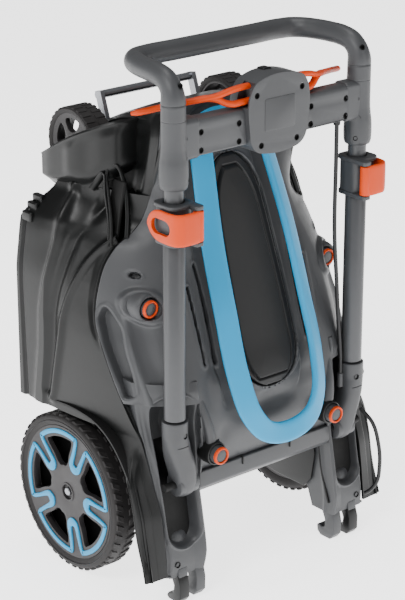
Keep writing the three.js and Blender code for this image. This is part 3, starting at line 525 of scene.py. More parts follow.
def lid_half(z, grow):
    z = np.asarray(z, float)
    h = tab([[244, 47.5], [300, 50], [420, 46], [512, 38]], z)[..., 0]
    zt, zb, r = 512.0, 244.0, 62.0
    top = np.clip((z - (zt - r)) / r, 0, 1); bot = np.clip(((zb + r) - z) / r, 0, 1)
    return h * np.sqrt(np.clip(1 - top ** 2.4, 0, 1)) * np.sqrt(np.clip(1 - bot ** 2.4, 0, 1)) + grow


def lid_outline(grow, n=40):
    zt, zb = 512 + grow, 244 - grow
    pts = []
    zs = 378 + (zt - zb) / 2 * np.sin(np.linspace(-math.pi / 2, math.pi / 2, n))
    for z in zs:
        zz = 244 + (z - zb) / (zt - zb) * 268
        pts.append((float(lid_half(zz, 0)) + (grow if 246 < zz < 510 else 0), float(z)))
    return pts + [(-x, z) for x, z in pts[::-1][1:-1]]


# ------------------------------------------------------------------ hood cover
nu, nz = 440, 330
U, Z = np.meshgrid(np.linspace(0.004, 0.996, nu), np.linspace(152, 575, nz), indexing="ij")
H = smooth1(hoodP(U, Z), ax=1, times=6)
H = smooth1(H, ax=0, times=10)
Nh = normals(H)
if Nh[nu // 2, nz // 2, 1] > 0:
    Nh = -Nh
X_, Y_, Z_ = np.abs(H[..., 0]), H[..., 1], H[..., 2]
D = np.zeros(X_.shape)
# grip recess in each flank, with a raised rim round it
rec = spline([(-55, 353), (-76, 337), (-90.6, 305), (-106, 267), (-108, 256), (-99, 252), (-90, 266), (-75, 292), (-60, 321), (-52, 345)], 80, closed=True)
flank = X_ > 140
sd = np.where(flank, signed(Y_, Z_, rec), -99)
D -= 12.0 * sstep(0.0, 4.0, sd)
D += 1.3 * np.exp(-((sd + 2.2) / 2.2) ** 2)
# rib running down to the leg
rb = dist_path(Y_, Z_, spline([(-77, 366), (-80, 350), (-86.3, 332), (-100.8, 299), (-114.7, 269), (-124, 246)], 60))
D += np.where(X_ > 118, 2.6 * np.exp(-(rb / 4.0) ** 2), 0)
D -= np.where(X_ > 118, 3.0 * np.exp(-((rb - 13) / 8.0) ** 2) * (X_ < 158) * sstep(250, 290, Z_) * (1 - sstep(330, 352, Z_)), 0)
# round seat of the height key
rk = np.hypot(X_ - 139, Z_ - 357)
D += 5.0 * (1 - sstep(17.5, 23, rk)) - 7.0 * (1 - sstep(12.6, 14.2, rk))
# small hole above it, with a soft rim
rh = np.hypot((X_ - 140.3) / 1.5, Z_ - 391)
D -= 8.0 * (1 - sstep(2.6, 3.6, rh)); D += 0.6 * np.exp(-((rh - 4.6) / 1.2) ** 2)
# two curved vent slits beside the ring, and the trough they lie in
for path in ([(-74.3, 397), (-72.2, 370), (-71.4, 346), (-71.3, 318), (-72.2, 287)], [(-90.4, 374), (-89.6, 352), (-89.3, 332), (-88.7, 310), (-88.3, 288)]):
    q = dist_path(-X_, Z_, spline(path, 60))
    D -= 9.0 * (1 - sstep(0.9, 1.9, q)); D += 0.9 * np.exp(-((q - 4.2) / 2.0) ** 2)
D -= 5.0 * np.exp(-((X_ - 80) / 9.0) ** 2) * sstep(262, 285, Z_) * (1 - sstep(390, 420, Z_))
# shallow bed under the ring, hollow in front of the lid for the fingers, soft hollows by the legs
ring_c = spline([(0, 556), (30, 553), (44, 540), (49.5, 515), (52, 495), (59.5, 425), (62, 345), (61.5, 263), (55, 228), (38, 203), (18, 194), (0, 192)], 160)
rd = dist_path(X_, Z_, ring_c)
D -= 4.0 * (1 - sstep(10.5, 15.0, rd)) * sstep(225, 250, Z_)
D -= 9.0 * np.exp(-((X_) / 40.0) ** 2 - ((Z_ - 222) / 15.0) ** 2)
D -= 4.5 * np.exp(-((X_ - 88) / 13.0) ** 2 - ((Z_ - 262) / 26.0) ** 2)
D -= 2.5 * np.exp(-((X_ - 72) / 9.0) ** 2 - ((Z_ - 198) / 14.0) ** 2)
D += 2.2 * np.exp(-((X_ - 100) / 9.0) ** 2 - ((Z_ - 226) / 22.0) ** 2)
# raised surround and well of the lid
lw = X_ - lid_half(np.clip(Z_, 244, 512), 0)
lidin = np.where((Z_ > 242) & (Z_ < 514), -lw, -50)
lidin = np.minimum(lidin, np.minimum(Z_ - 242.5, 513.5 - Z_))
D += 1.4 * np.exp(-((lidin + 4.0) / 2.2) ** 2)
D -= 12.0 * sstep(-1.2, 0.4, lidin)
# rolled edge at the seam, and at the rear edge
edge = np.minimum(U, 1 - U) * 560
D -= 3.2 * np.clip(1 - edge / 3.0, 0, 1) ** 2
D -= 3.5 * np.clip(1 - (Z_ - 152) / 4.0, 0, 1) ** 2
# small hole near the fold key
rs = np.hypot(X_ - 80, Z_ - 190)
D -= 6.0 * (1 - sstep(2.4, 3.2, rs))
H2 = H + Nh * D[..., None]
cell = lambda A: 0.25 * (A[:-1, :-1] + A[1:, :-1] + A[1:, 1:] + A[:-1, 1:])
keep = ~((cell(X_) > 105.5) & (cell(Z_) < 246))
hood = shell("hood_shell", H2, 3.0, M["grey"], "chassis", ("hood_cover",), mask=keep, flip=(normals(H2)[nu // 2, 20, 1] > 0))

# ------------------------------------------------------------------ deck side walls
RIDGE1 = [(0.66, 474), (0.637, 462), (0.56, 415), (0.617, 362), (0.69, 318), (0.747, 273), (0.80, 235), (0.83, 208)]
RIDGE2 = [(0.05, 430), (0.097, 420), (0.243, 378), (0.377, 338), (0.46, 315), (0.527, 293), (0.60, 268), (0.657, 246), (0.72, 218)]
SLOT = [(0.012, 424), (0.012, 431), (0.09, 452), (0.17, 474), (0.235, 492), (0.29, 505), (0.345, 509), (0.385, 503), (0.385, 494), (0.30, 474), (0.18, 450), (0.07, 428)]
mv, mz = 240, 300
Vv, Zz = np.meshgrid(np.linspace(0.0, 1.0, mv), np.linspace(205, 478, mz), indexing="ij")
S = smooth1(sideP(Vv, Zz), ax=1, times=8)
Ns = normals(S)
if Ns[mv // 2, 60, 0] > 0:
    Ns = -Ns
Ds = np.zeros(Vv.shape)
K = 190.0
r1 = dist_path(Vv * K, Zz, spline([(a * K, b) for a, b in RIDGE1], 80))
r2 = dist_path(Vv * K, Zz, spline([(a * K, b) for a, b in RIDGE2], 80))
Ds += 5.0 * np.exp(-(r1 / 8.0) ** 2) + 4.4 * np.exp(-(r2 / 5.5) ** 2)
mid12 = dist_path(Vv * K, Zz, spline([((a[0] + b[0]) / 2 * K, (a[1] + b[1]) / 2) for a, b in zip(RIDGE1, RIDGE2)], 60))
Ds -= 3.6 * np.exp(-(mid12 / 8.0) ** 2) * (1 - sstep(405, 440, Zz))
# hollow between the second ridge and the hood, ledge under the seam
Ds -= 3.0 * np.exp(-((Vv * K - 6) / 6.0) ** 2) * sstep(300, 330, Zz) * (1 - sstep(425, 440, Zz))
# flat rim band along the open edge
Ds += 1.6 * sstep(0.955, 0.965, Vv)
Ds -= 1.2 * np.exp(-((Vv - 0.945) * K / 1.6) ** 2)
# swell under the front wheel
Ds += 5.0 * np.exp(-((Vv - 0.62) * K / 22) ** 2 - ((Zz - 445) / 22) ** 2)
Ds -= 7.0 * np.exp(-((Vv - 0.34) * K / 9) ** 2 - ((Zz - 462) / 16) ** 2)
sl = signed(Vv * K, Zz, [(a * K, b) for a, b in SLOT])
Ds -= 16.0 * sstep(0, 2.5, sl)
S2 = S + Ns * Ds[..., None]
S2[..., 0] = np.clip(S2[..., 0], -191.5, None)
# the wall stops along a step at the open edge near the wheel
zc, vc = 0.25 * (Zz[:-1, :-1] + Zz[1:, :-1] + Zz[1:, 1:] + Zz[:-1, 1:]), 0.25 * (Vv[:-1, :-1] + Vv[1:, :-1] + Vv[1:, 1:] + Vv[:-1, 1:])
keepS = ~((zc > 432 + (1 - vc) * 260) & (vc > 0.80))
for s in (-1, 1):
    P = S2 if s < 0 else mirror(S2)
    nn = normals(P)[mv // 2, 60, 0]
    shell(("left" if s < 0 else "right") + "_deck_wall", P, 3.2, M["black"], "chassis", ("deck_shell",), mask=keepS, flip=(nn * s < 0))

# flank of the nose between hood and front wheel, with a soft flute along the hood
fv, fz = 130, 120
Vf, Zf = np.meshgrid(np.linspace(0.0, 1.0, fv), np.linspace(440, 578, fz), indexing="ij")
ysf = tab(SEAM, Zf)[..., 1]; xsf = tab(SEAM, Zf)[..., 0]
xo = tab([[440, 122], [460, 112], [500, 108], [540, 107], [560, 103], [572, 96], [578, 88]], Zf)[..., 0]
yf = ysf + (84 - ysf) * Vf
bl = sstep(0.0, 0.22, Vf)
xf = xsf * (1 - bl) + xo * bl - 9.0 * np.exp(-((Vf - 0.30) / 0.13) ** 2) * (1 - sstep(548, 575, Zf)) + 2.5 * np.exp(-((Vf - 0.10) / 0.05) ** 2)
zlim = np.interp(yf, [-90, -60, -30, 0, 20, 45, 84], [576, 572, 567, 559, 551, 538, 521])
Zf = 440 + (Zf - 440) * (zlim - 440) / (578 - 440)
FL = np.stack([-xf, yf, Zf], -1)
for s in (-1, 1):
    P = FL if s < 0 else mirror(FL)
    nn = normals(P)[fv // 2, 60, 0]
    shell(("left" if s < 0 else "right") + "_nose_flank", P, 3.0, M["black"], "chassis", ("deck_shell",), flip=(nn * s < 0))

# top of the nose
tx, ty = 150, 110
A, B_ = np.meshgrid(np.linspace(-1, 1, tx), np.linspace(0, 1, ty), indexing="ij")
xt = A * 97.5
yfront = tab([[-100, -76], [-80, -70], [-40, -52], [0, -48], [40, -52], [80, -70], [100, -76]], xt)[..., 0]
yt = yfront + (84 - yfront) * B_
zt_ = np.interp(yt, [-80, -60, -30, 0, 20, 45, 84], [574, 573, 570, 564, 556, 544, 527]) - 9.0 * np.abs(A) ** 5
zt_ -= 4.0 * np.exp(-((np.abs(A) - 0.66) / 0.12) ** 2) * (1 - sstep(0, 30, yt))
zt_ = smooth1(smooth1(zt_, ax=1, times=30), ax=0, times=6)
NT = np.stack([xt, yt, zt_], -1)
shell("nose_top", NT, 3.0, M["black"], "chassis", ("deck_shell",), flip=(normals(NT)[75, 55, 2] < 0))
# closed front face of the nose under the cover
NF = np.stack([np.linspace(-96, 96, 60)[:, None] * np.ones((1, 30)), 82 - 3 * (np.linspace(-1, 1, 60)[:, None] ** 4) * np.ones((1, 30)), np.linspace(470, 524, 30)[None, :] * np.ones((60, 1))], -1)
shell("nose_underside", NF, 3.0, M["black2"], "chassis", ("deck_shell",), flip=(normals(NF)[30, 15, 1] < 0))

# ------------------------------------------------------------------ cups over the front wheels
CUP = [(-151, 84, 504, 470), (-153, 70, 511.5, 468), (-153, 50, 523.5, 470), (-152, 30, 534.5, 474), (-149, 10, 544.5, 477), (-143, -5, 551.5, 481), (-134, -17, 557.5, 486), (-124, -26, 561, 490), (-113, -31, 562, 494), (-104, -33, 563, 496), (-98, -33, 563, 498)]
cp = spline(CUP, 150)
rows = []
for t in np.linspace(0, 1, 60):
    # t 0 lower edge, 1 rim: walls stand upright and tuck in below
    tuck = 9.0 * (1 - sstep(0, 0.28, t)) ** 1.5
    lip = 1.2 * np.exp(-((t - 0.965) / 0.02) ** 2)
    tan = np.gradient(cp[:, :2], axis=0); tan /= np.linalg.norm(tan, axis=1)[:, None]
    nx, ny = -tan[:, 1], tan[:, 0]
    sgn = np.sign(nx[20] * -1)            # outward is -X there
    nx, ny = nx * sgn, ny * sgn
    flute = 2.2 * np.cos(np.linspace(0, 5.2 * math.pi, len(cp))) * sstep(0.1, 0.4, t) * (1 - sstep(0.75, 0.95, t)) * sstep(0.25, 0.45, np.linspace(0, 1, len(cp)))
    off = -tuck + lip + flute
    rows.append(np.stack([cp[:, 0] + nx * off, cp[:, 1] + ny * off, cp[:, 3] + (cp[:, 2] - cp[:, 3]) * t], -1))
CW = np.stack(rows, 1)
for s in (-1, 1):
    P = CW if s < 0 else mirror(CW)
    nn = normals(P)[20, 30, 0]
    shell(("left" if s < 0 else "right") + "_wheel_cup", P, 2.8, M["black"], "chassis", ("deck_shell",), flip=(nn * s < 0))
    # lip of the tall slot beside the cup, its thin web and the fin
    lip_p = spline([(-148, -45, 420), (-142.5, -38, 448), (-136, -25, 478), (-131.5, -17.5, 500), (-127.5, -19.5, 509), (-123.8, -28, 507), (-122.5, -37, 492), (-127, -49, 460), (-134, -56, 430)], 70)
    if s > 0:
        lip_p = mirror(lip_p)
    V, F = sweep_vf(lip_p, circ(2.3, 14, 3.2))
    make(("left" if s < 0 else "right") + "_slot_lip", V, F, M["black"], "chassis", ("deck_shell",))
    web = spline([(-148, -40, 418), (-143, -34, 446), (-138, -22, 476), (-134, -14, 497), (-137, -6, 486), (-142, -2, 477)], 40)
    if s > 0:
        web = mirror(web)
    V, F = sweep_vf(web, circ(2.0, 12, 5.0))
    make(("left" if s < 0 else "right") + "_slot_web", V, F, M["black"], "chassis", ("deck_shell",))
    fin = prism_vf("y", [(-140 * -s if False else s * 140, 424), (s * 136, 424), (s * 127, 470), (s * 123, 492), (s * 127, 492), (s * 133, 470)], -44, -24)
    ob = make(("left" if s < 0 else "right") + "_slot_fin", *fin, M["black2"], "chassis", ("deck_shell",))
    bevel(ob, 1.0, 3)
    # comb at the end of the wall
    for i, (x, z) in enumerate([(-183, 436), (-175, 446), (-167, 454)]):
        q = prism_vf("z", rrect(s * (x + 4) - 4.2, s * (x + 4) + 4.2, 66, 84, 2.6), z - 9, z + 2.5)
        ob = make(("left" if s < 0 else "right") + f"_comb_{i}", *q, M["black"], "chassis", ("deck_shell",))
        bevel(ob, 1.6, 3)

# ------------------------------------------------------------------ arms beside the legs, wheel arches
ARCH = [[40, -156], [49.5, -153], [95, -138], [120, -133.5], [150, -125], [170, -112], [187, -98], [200, -82], [208, -66], [213, -50], [250, -50]]
av, az = 70, 200
Va, Za = np.meshgrid(np.linspace(0, 1, av), np.linspace(40, 246, az), indexing="ij")
sa = tab(SEAM, Za); ya = tab(ARCH, Za)[..., 0]
xs_, ys_ = sa[..., 0], sa[..., 1]
xa_ = 190 + (xs_ - 190) * Va ** 2.4
ya_ = ya + (ys_ - 1.0 - ya) * Va ** 0.85
vw = np.linspace(0, 1, 80)
for j_ in range(az):
    z_ = Za[0, j_]
    k_ = float(sstep(150, 210, z_))
    if k_ > 0:
        w_ = sideP(vw, np.full(80, max(z_, 206.0)))
        o_ = np.argsort(w_[:, 1])
        xw = np.interp(ya_[:, j_], w_[o_, 1], -w_[o_, 0])
        xa_[:, j_] = xa_[:, j_] * (1 - k_) + (xw - 0.2 - 2.4 * float(sstep(211, 222, z_))) * k_
arc = np.clip(Va, 0, 1)
groove = -2.4 * np.exp(-((Va - 0.42) / 0.045) ** 2) - 2.4 * np.exp(-((Va - 0.74) / 0.045) ** 2) + 1.3 * np.exp(-((Va - 0.58) / 0.07) ** 2) + 1.0 * np.exp(-((Va - 0.06) / 0.05) ** 2)
groove *= (1 - sstep(140, 190, Za))
AR = smooth1(np.stack([-(xa_ + groove), ya_, Za], -1), ax=1, times=6)
for s in (-1, 1):
    P = AR if s < 0 else mirror(AR)
    nn = normals(P)[20, 60, 0]
    shell(("left" if s < 0 else "right") + "_deck_arm", P, 3.2, M["black"], "chassis", ("deck_shell",), flip=(nn * s < 0))
    # lining of the arch, from the skin to the inner plate
    ap = spline([(y, z) for z, y in ARCH[1:-2]] + [(-20, 214.5), (30, 211), (84, 207)], 90)
    L = np.zeros((90, 24, 3))
    for k, t in enumerate(np.linspace(0, 1, 24)):
        L[:, k, 0] = s * (188.5 - t * 86); L[:, k, 1] = ap[:, 0] - 1.0; L[:, k, 2] = ap[:, 1] + 1.5
    shell(("left" if s < 0 else "right") + "_arch_lining", L, 2.4, M["black2"], "chassis", ("deck_shell",), flip=(normals(L)[60, 12, 2] > 0))
    side = "left" if s < 0 else "right"
    pl = prism_vf("x", [(-10, 66), (-60, 60), (-112, 60), (-124, 74), (-130, 110), (-120, 150), (-104, 190), (-78, 226), (-40, 252), (60, 252), (60, 180), (30, 150), (6, 120)], min(s * 100.5, s * 103.5), max(s * 100.5, s * 103.5))
    ob = make(side + "_arm_inner", *pl, M["black"], "chassis", ("deck_shell",)); bevel(ob, 1.0, 3)

# blade chamber and motor plate
dp = [(-176, 218), (-176, 300), (-172, 395), (-160, 425), (-128, 448), (-110, 470), (-84, 500), (84, 500), (110, 470), (128, 448), (160, 425), (172, 395), (176, 300), (176, 218), (120, 172), (-120, 172)]
ob = make("deck_plate", *prism_vf("y", dp, -16, -12), M["black2"], "chassis", ("deck_shell",))
boolean(ob, cutter(*rod_vf((0, -30, 335), (0, 20, 335), 20, 64)))
bevel(ob, 1.0, 2)
V, F = lathe_vf([(158, 0), (158, 92), (162, 92), (162, 0)], 0, 0, 180)
V = np.array(V); V = np.stack([V[:, 1], V[:, 0] - 14, V[:, 2] + 335], -1)
ob = make("blade_chamber", V, F, M["black2"], "chassis", ("deck_shell",))
boolean(ob, cutter(*prism_vf("y", [(-70, 150), (70, 150), (70, 260), (-70, 260)], 2, 120)))
bevel(ob, 0.8, 2)


# ------------------------------------------------------------------ rear wheels
PH = -0.232
WY, WZ = 0.0, 100.0


def polar(r, a, w=0.0):
    return (WY + r * math.cos(a) - w * math.sin(a), WZ + r * math.sin(a) + w * math.cos(a))


for s in (-1, 1):
    side = "left" if s < 0 else "right"
    body = side + "_rear_wheel"
    # tyre: rounded shoulders, side band, and lugs
    prof = [(84.5, -186.5), (88, -188.2), (92, -189.3), (95.5, -188.6), (98.0, -186.2), (98.6, -183.5), (98.6, -172.5), (98.6, -161), (97.6, -158.2), (95, -156.2), (92, -155.4), (88, -156.2), (84.5, -157.5)]
    V, F = lathe_vf(prof, WY, WZ, 240)
    V = np.array(V)
    if s > 0:
        V = mirror(V); F = flipF(F)
    ty = make(side + "_rear_tyre_body", V, F, M["tyre"], body, (side + "_rear_tyre",))
    V, F = [], []
    nl = 46
    for i in range(nl):
        for row, (x0, x1, sh) in enumerate(((-187.6, -176.5, 0.0), (-169.5, -157.0, 0.5))):
            a0 = 2 * math.pi * (i + sh) / nl
            da = 2 * math.pi / nl * 0.30
            skew = 0.028 if row == 0 else -0.028
            base = len(V)
            for r, k in ((97.9, 1.0), (100.0, 0.78)):
                for x, sk in ((x0, -skew), (x1, skew)):
                    xx = x if k == 1.0 else (x + (1.1 if x == x0 else -1.1))
                    for q in (-1, 1):
                        y, z = polar(r, a0 + sk + q * da * k)
                        V.append((s * -xx if s > 0 else xx, y, z))
            b = base
            F += [(b, b + 1, b + 3, b + 2), (b + 4, b + 6, b + 7, b + 5), (b, b + 4, b + 5, b + 1), (b + 2, b + 3, b + 7, b + 6), (b, b + 2, b + 6, b + 4), (b + 1, b + 5, b + 7, b + 3)]
    V = np.array(V)
    lug = make(side + "_rear_lugs", V, F, M["tyre"], body, (side + "_rear_tyre",), sharp=30)
    # small ribs round the side band
    V, F = lathe_vf([(90.2, -189.0), (90.9, -189.9), (91.6, -189.2)], WY, WZ, 160)
    V = np.array(V); 
    if s > 0:
        V = mirror(V); F = flipF(F)
    make(side + "_rear_bead", V, F, M["tyre"], body, (side + "_rear_tyre",))
    # rim: slightly dished face, five windows, raised hub
    prof = [(0.01, -186.0), (7.2, -186.0), (8.2, -186.6), (30, -186.4), (60, -186.0), (78, -186.6), (84.2, -187.2), (84.6, -186.4), (84.6, -158), (79, -158), (78.2, -180), (60, -179.5), (20, -179), (17, -178), (16, -160), (0.01, -160)]
    V, F = lathe_vf(prof, WY, WZ, 200)
    V = np.array(V)
    if s > 0:
        V = mirror(V); F = flipF(F)
    rim = make(side + "_rear_rim_face", V, F, M["rim"], body, (side + "_rear_rim",))
    cs = []
    for i in range(5):
        a = math.pi / 2 + 2 * math.pi * i / 5 + PH
        pts = [polar(70.5, a - 0.36 + 0.72 * k / 10) for k in range(11)] + [polar(69, a + 0.375), polar(66, a + 0.375), polar(50, a + 0.31), polar(37, a + 0.24), polar(34.5, a + 0.18), polar(34, a), polar(34.5, a - 0.18), polar(37, a - 0.24), polar(50, a - 0.31), polar(66, a - 0.375), polar(69, a - 0.375)]
        ctr = np.mean(pts, axis=0)
        pr = spline([tuple(p) for p in pts], 60, closed=True)
        cs.append(cutter(*prism_vf("x", [tuple(p) for p in pr], min(s * 150, s * 195), max(s * 150, s * 195))))
    cs.append(cutter(*rod_vf((s * 184, WY, WZ), (s * 194, WY, WZ), 9.5, 48)))
    boolean(rim, *cs)
    bevel(rim, 1.2, 3, 40)
    # pin in the hub recess
    V, F = lathe_vf([(0.01, -187.2), (4.0, -187.2), (5.0, -186.4), (5.0, -184), (0.01, -184)], WY + 1.0, WZ, 40)
    V = np.array(V)
    if s > 0:
        V = mirror(V); F = flipF(F)
    make(side + "_hub_pin", V, F, M["steel"], body, (side + "_rear_rim",))
    V, F = lathe_vf([(9.8, -187.4), (11.2, -187.6), (12.2, -186.9), (12.2, -186.0), (9.8, -186.0)], WY, WZ, 64)
    V = np.array(V)
    if s > 0:
        V = mirror(V); F = flipF(F)
    make(side + "_hub_ring", V, F, M["rim"], body, (side + "_rear_rim",))
    # painted shade: a near-black disc behind the windows stands in for the shaded inside of the wheel
    V, F = lathe_vf([(18, -172), (77.6, -172), (77.6, -170), (18, -170)], WY, WZ, 120)
    V = np.array(V)
    if s > 0:
        V = mirror(V); F = flipF(F)
    make(side + "_rim_back", V, F, M["void"], body, (side + "_rear_rim",))
    # blue trim: one continuous raised line, five arcs and five dips
    line, wid = [], []
    for i in range(5):
        a = math.pi / 2 + 2 * math.pi * i / 5 + PH
        c = a + math.pi / 5
        for k in range(-6, 7):
            line.append(polar(77.5, a + k / 6 * 0.46)); wid.append(2.9)
        for r, w, q in ((77.0, -12.2, 2.7), (73.5, -10.2, 2.5), (66, -9.0, 2.4), (58, -8.2, 2.5), (50, -7.8, 2.9), (44, -7.2, 3.6), (40, -4.8, 4.6), (38.2, 0, 5.4), (40, 4.8, 4.6), (44, 7.2, 3.6), (50, 7.8, 2.9), (58, 8.2, 2.5), (66, 9.0, 2.4), (73.5, 10.2, 2.5), (77.0, 12.2, 2.7)):
            line.append(polar(r, c, w)); wid.append(q)
    n = 900
    L3 = spline([(p[0], p[1], w * 10) for p, w in zip(line, wid)], n, closed=True)
    P = np.stack([np.full(n, s * 187.2), L3[:, 0], L3[:, 1]], -1)
    Wd = L3[:, 2] / 10
    sc = [(w, 1.0) for w in Wd]
    prf = [(-1.0, -1.4), (1.0, -1.4), (1.0, 0.55), (0.82, 0.95), (-0.82, 0.95), (-1.0, 0.55)]
    upv = np.tile(np.array([[float(s), 0, 0]]), (n, 1))
    V, F = sweep_vf(P, prf, scale=sc, up=upv, closed=True)
    make(side + "_blue_line", V, F, M["blue"], body, (side + "_rear_trim",), sharp=50)

# ------------------------------------------------------------------ front wheels
for s in (-1, 1):
    side = "left" if s < 0 else "right"
    body = side + "_front_wheel"
    fy, fz_ = 55.0, 516.0
    def put(name, prof, mat, rep, seg=120):
        V, F = lathe_vf(prof, fy, fz_, seg)
        V = np.array(V)
        if s > 0:
            V = mirror(V); F = flipF(F)
        return make(side + name, V, F, mat, body, (side + rep,))
    put("_front_tyre_body", [(37.4, -128.4), (40, -130.2), (42.5, -130.4), (44.2, -128.6), (44.2, -100), (42.5, -97.8), (40, -97.4), (37.4, -99)], M["tyre"], "_front_tyre")
    V, F = [], []
    nl = 30
    for i in range(nl):
        for x0, x1, sh in ((-129.0, -116, 0.0), (-112, -99, 0.5)):
            a0 = 2 * math.pi * (i + sh) / nl; da = 2 * math.pi / nl * 0.30; b = len(V)
            for r, k in ((43.8, 1.0), (45.0, 0.75)):
                for x in (x0, x1):
                    for q in (-1, 1):
                        aa = a0 + q * da * k
                        V.append((-s * x, fy + r * math.cos(aa), fz_ + r * math.sin(aa)))
            F += [(b, b + 1, b + 3, b + 2), (b + 4, b + 6, b + 7, b + 5), (b, b + 4, b + 5, b + 1), (b + 2, b + 3, b + 7, b + 6), (b, b + 2, b + 6, b + 4), (b + 1, b + 5, b + 7, b + 3)]
    make(side + "_front_lugs", np.array(V), F, M["tyre"], body, (side + "_front_tyre",), sharp=30)
    rim = put("_front_rim_face", [(0.01, -127.2), (6, -127.2), (10, -127.8), (32, -126.4), (37.2, -128.2), (37.6, -127), (37.6, -100), (34.5, -100), (34, -121), (9.5, -119), (9, -99), (0.01, -99)], M["rim"], "_front_rim")
    cs = []
    for i in range(5):
        a = math.pi / 2 + 2 * math.pi * i / 5
        pts = [(fy + 31 * math.cos(a - 0.40 + 0.80 * k / 6), fz_ + 31 * math.sin(a - 0.40 + 0.80 * k / 6)) for k in range(7)] + [(fy + 15 * math.cos(a + 0.24), fz_ + 15 * math.sin(a + 0.24)), (fy + 15 * math.cos(a - 0.24), fz_ + 15 * math.sin(a - 0.24))]
        cs.append(cutter(*prism_vf("x", [tuple(p) for p in spline(pts, 40, closed=True)], min(s * 94, s * 140), max(s * 94, s * 140))))
    boolean(rim, *cs)
    bevel(rim, 0.7, 2, 40)

# ------------------------------------------------------------------ carry ring
rc = np.concatenate([ring_c[:-1], (ring_c[::-1] * [-1, 1])[:-1]])
rc = spline([tuple(p) for p in rc[::6]], 220, closed=True)
zc_ = rc[:, 1]
tz = np.roll(rc, -1, 0) - np.roll(rc, 1, 0)
tz /= np.linalg.norm(tz, axis=1)[:, None]
inw = np.stack([-tz[:, 1], tz[:, 0]], -1)
inw *= np.sign(np.sum(inw * (np.array([[0, 370.0]]) - rc), 1))[:, None]
side_f = np.abs(tz[:, 1]) ** 1.4                      # 1 on the long sides, 0 across the ends
for _ in range(12):
    side_f = 0.5 * side_f + 0.25 * (np.roll(side_f, 1) + np.roll(side_f, -1))
th = np.radians(6.0 + 21.0 * side_f)                  # the band leans outward along its sides
hwid = 12.8 + 0.6 * side_f
u0 = np.array([0.0, -0.949, -0.316]); u0 = np.array([0.0, -1.0, 0.333]) / 1.054
in3 = np.stack([inw[:, 0], np.zeros(220), inw[:, 1]], -1)
in3[:, 1] = 0.333 * in3[:, 2]
in3 /= np.linalg.norm(in3, axis=1)[:, None]
base_ = np.stack([rc[:, 0], planeY(zc_) + 5.0, zc_], -1) - in3 * 11.0
PC = base_ + in3 * (hwid * np.cos(th))[:, None] + u0 * (hwid * np.sin(th))[:, None]
nrm = u0 * np.cos(th)[:, None] - in3 * np.sin(th)[:, None]
bw = hwid
prof = []
for i in range(40):
    a = 2 * math.pi * i / 40
    ca, sa_ = math.cos(a), math.sin(a)
    prof.append((np.sign(ca) * abs(ca) ** 0.55, 4.6 * np.sign(sa_) * abs(sa_) ** 0.75 + (0.8 * math.cos(a) ** 2 if sa_ > 0 else 0)))
V, F = sweep_vf(PC, prof, scale=[(w, 1.0) for w in bw], up=nrm, closed=True)
make("carry_ring_moulded", V, F, M["blue"], "chassis", ("carry_ring",), sharp=60)

# ------------------------------------------------------------------ battery lid with its raised panel
ll, lw_ = 150, 200
tt = np.linspace(0, 1, lw_); A1 = np.linspace(-1, 1, ll)
AA, ZZ = np.meshgrid(A1, 245.2 + (510.8 - 245.2) * (0.5 - 0.5 * np.cos(np.pi * tt)), indexing="ij")
XX = AA * np.maximum(lid_half(ZZ, -1.3), 0.4)
yc = tab(HOODC, ZZ)[..., 0]; xk = tab(HOODC, ZZ)[..., 1]; yk = tab(HOODC, ZZ)[..., 2]
YY = yc + (yk - yc) * (XX / xk) ** 2
YY = smooth1(YY, ax=1, times=20)
ed = np.minimum(lid_half(ZZ, -1.3) - np.abs(XX), np.minimum(ZZ - 244.6, 511.4 - ZZ))
# smooth bezel, then a groove and the crowned centre panel, set low in the upper half
ph = np.maximum(lid_half(np.clip(ZZ + 4, 244, 512), -13.0), 0)
pin = np.minimum(ph - np.abs(XX), np.minimum(ZZ - 256.5, 497 - ZZ))
up_ = 1.2 - 3.6 * np.clip(1 - ed / 4.0, 0, 1) ** 2 - 1.6 * np.exp(-((pin + 0.2) / 1.3) ** 2) + 2.6 * sstep(0.0, 3.2, pin) + 1.4 * sstep(0, 30, pin)
LD = np.stack([XX, YY - up_, ZZ], -1)
lid = shell("lid_moulded", LD, 2.6, [M["lid"], M["lidtop"]], "lid", ("battery_lid",), flip=(normals(LD)[ll // 2, lw_ // 2, 1] > 0))
for p in lid.data.polygons:
    c = p.center * 1000
    w = float(lid_half(np.array(min(max(c.z + 4, 244.0), 512.0)), -13.0))
    if min(w - abs(c.x), c.z - 256.5, 497 - c.z) > 1.2 and p.normal.y < 0:
        p.material_index = 1


# ------------------------------------------------------------------ legs and feet
LEGF = [[36, -160], [50, -161], [100, -152], [150, -141], [200, -128], [230, -117], [246, -110], [268, -103]]
LEGB = [[36, -124], [70, -112], [120, -104], [180, -99], [268, -92]]
lx, lz = 96, 300
Ax, Az = np.meshgrid(np.linspace(0, 1, lx), np.linspace(36, 272, lz), indexing="ij")
xo_ = -tab(SEAM, Az)[..., 0] + 0.5
xo_ = np.maximum(xo_, -166 - 0 * Az)
xi_ = -104.5 + 0 * Az
Xl = xo_ + (xi_ - xo_) * Ax
yf_ = tab(LEGF, Az)[..., 0]
yseam = tab(SEAM, Az)[..., 1]
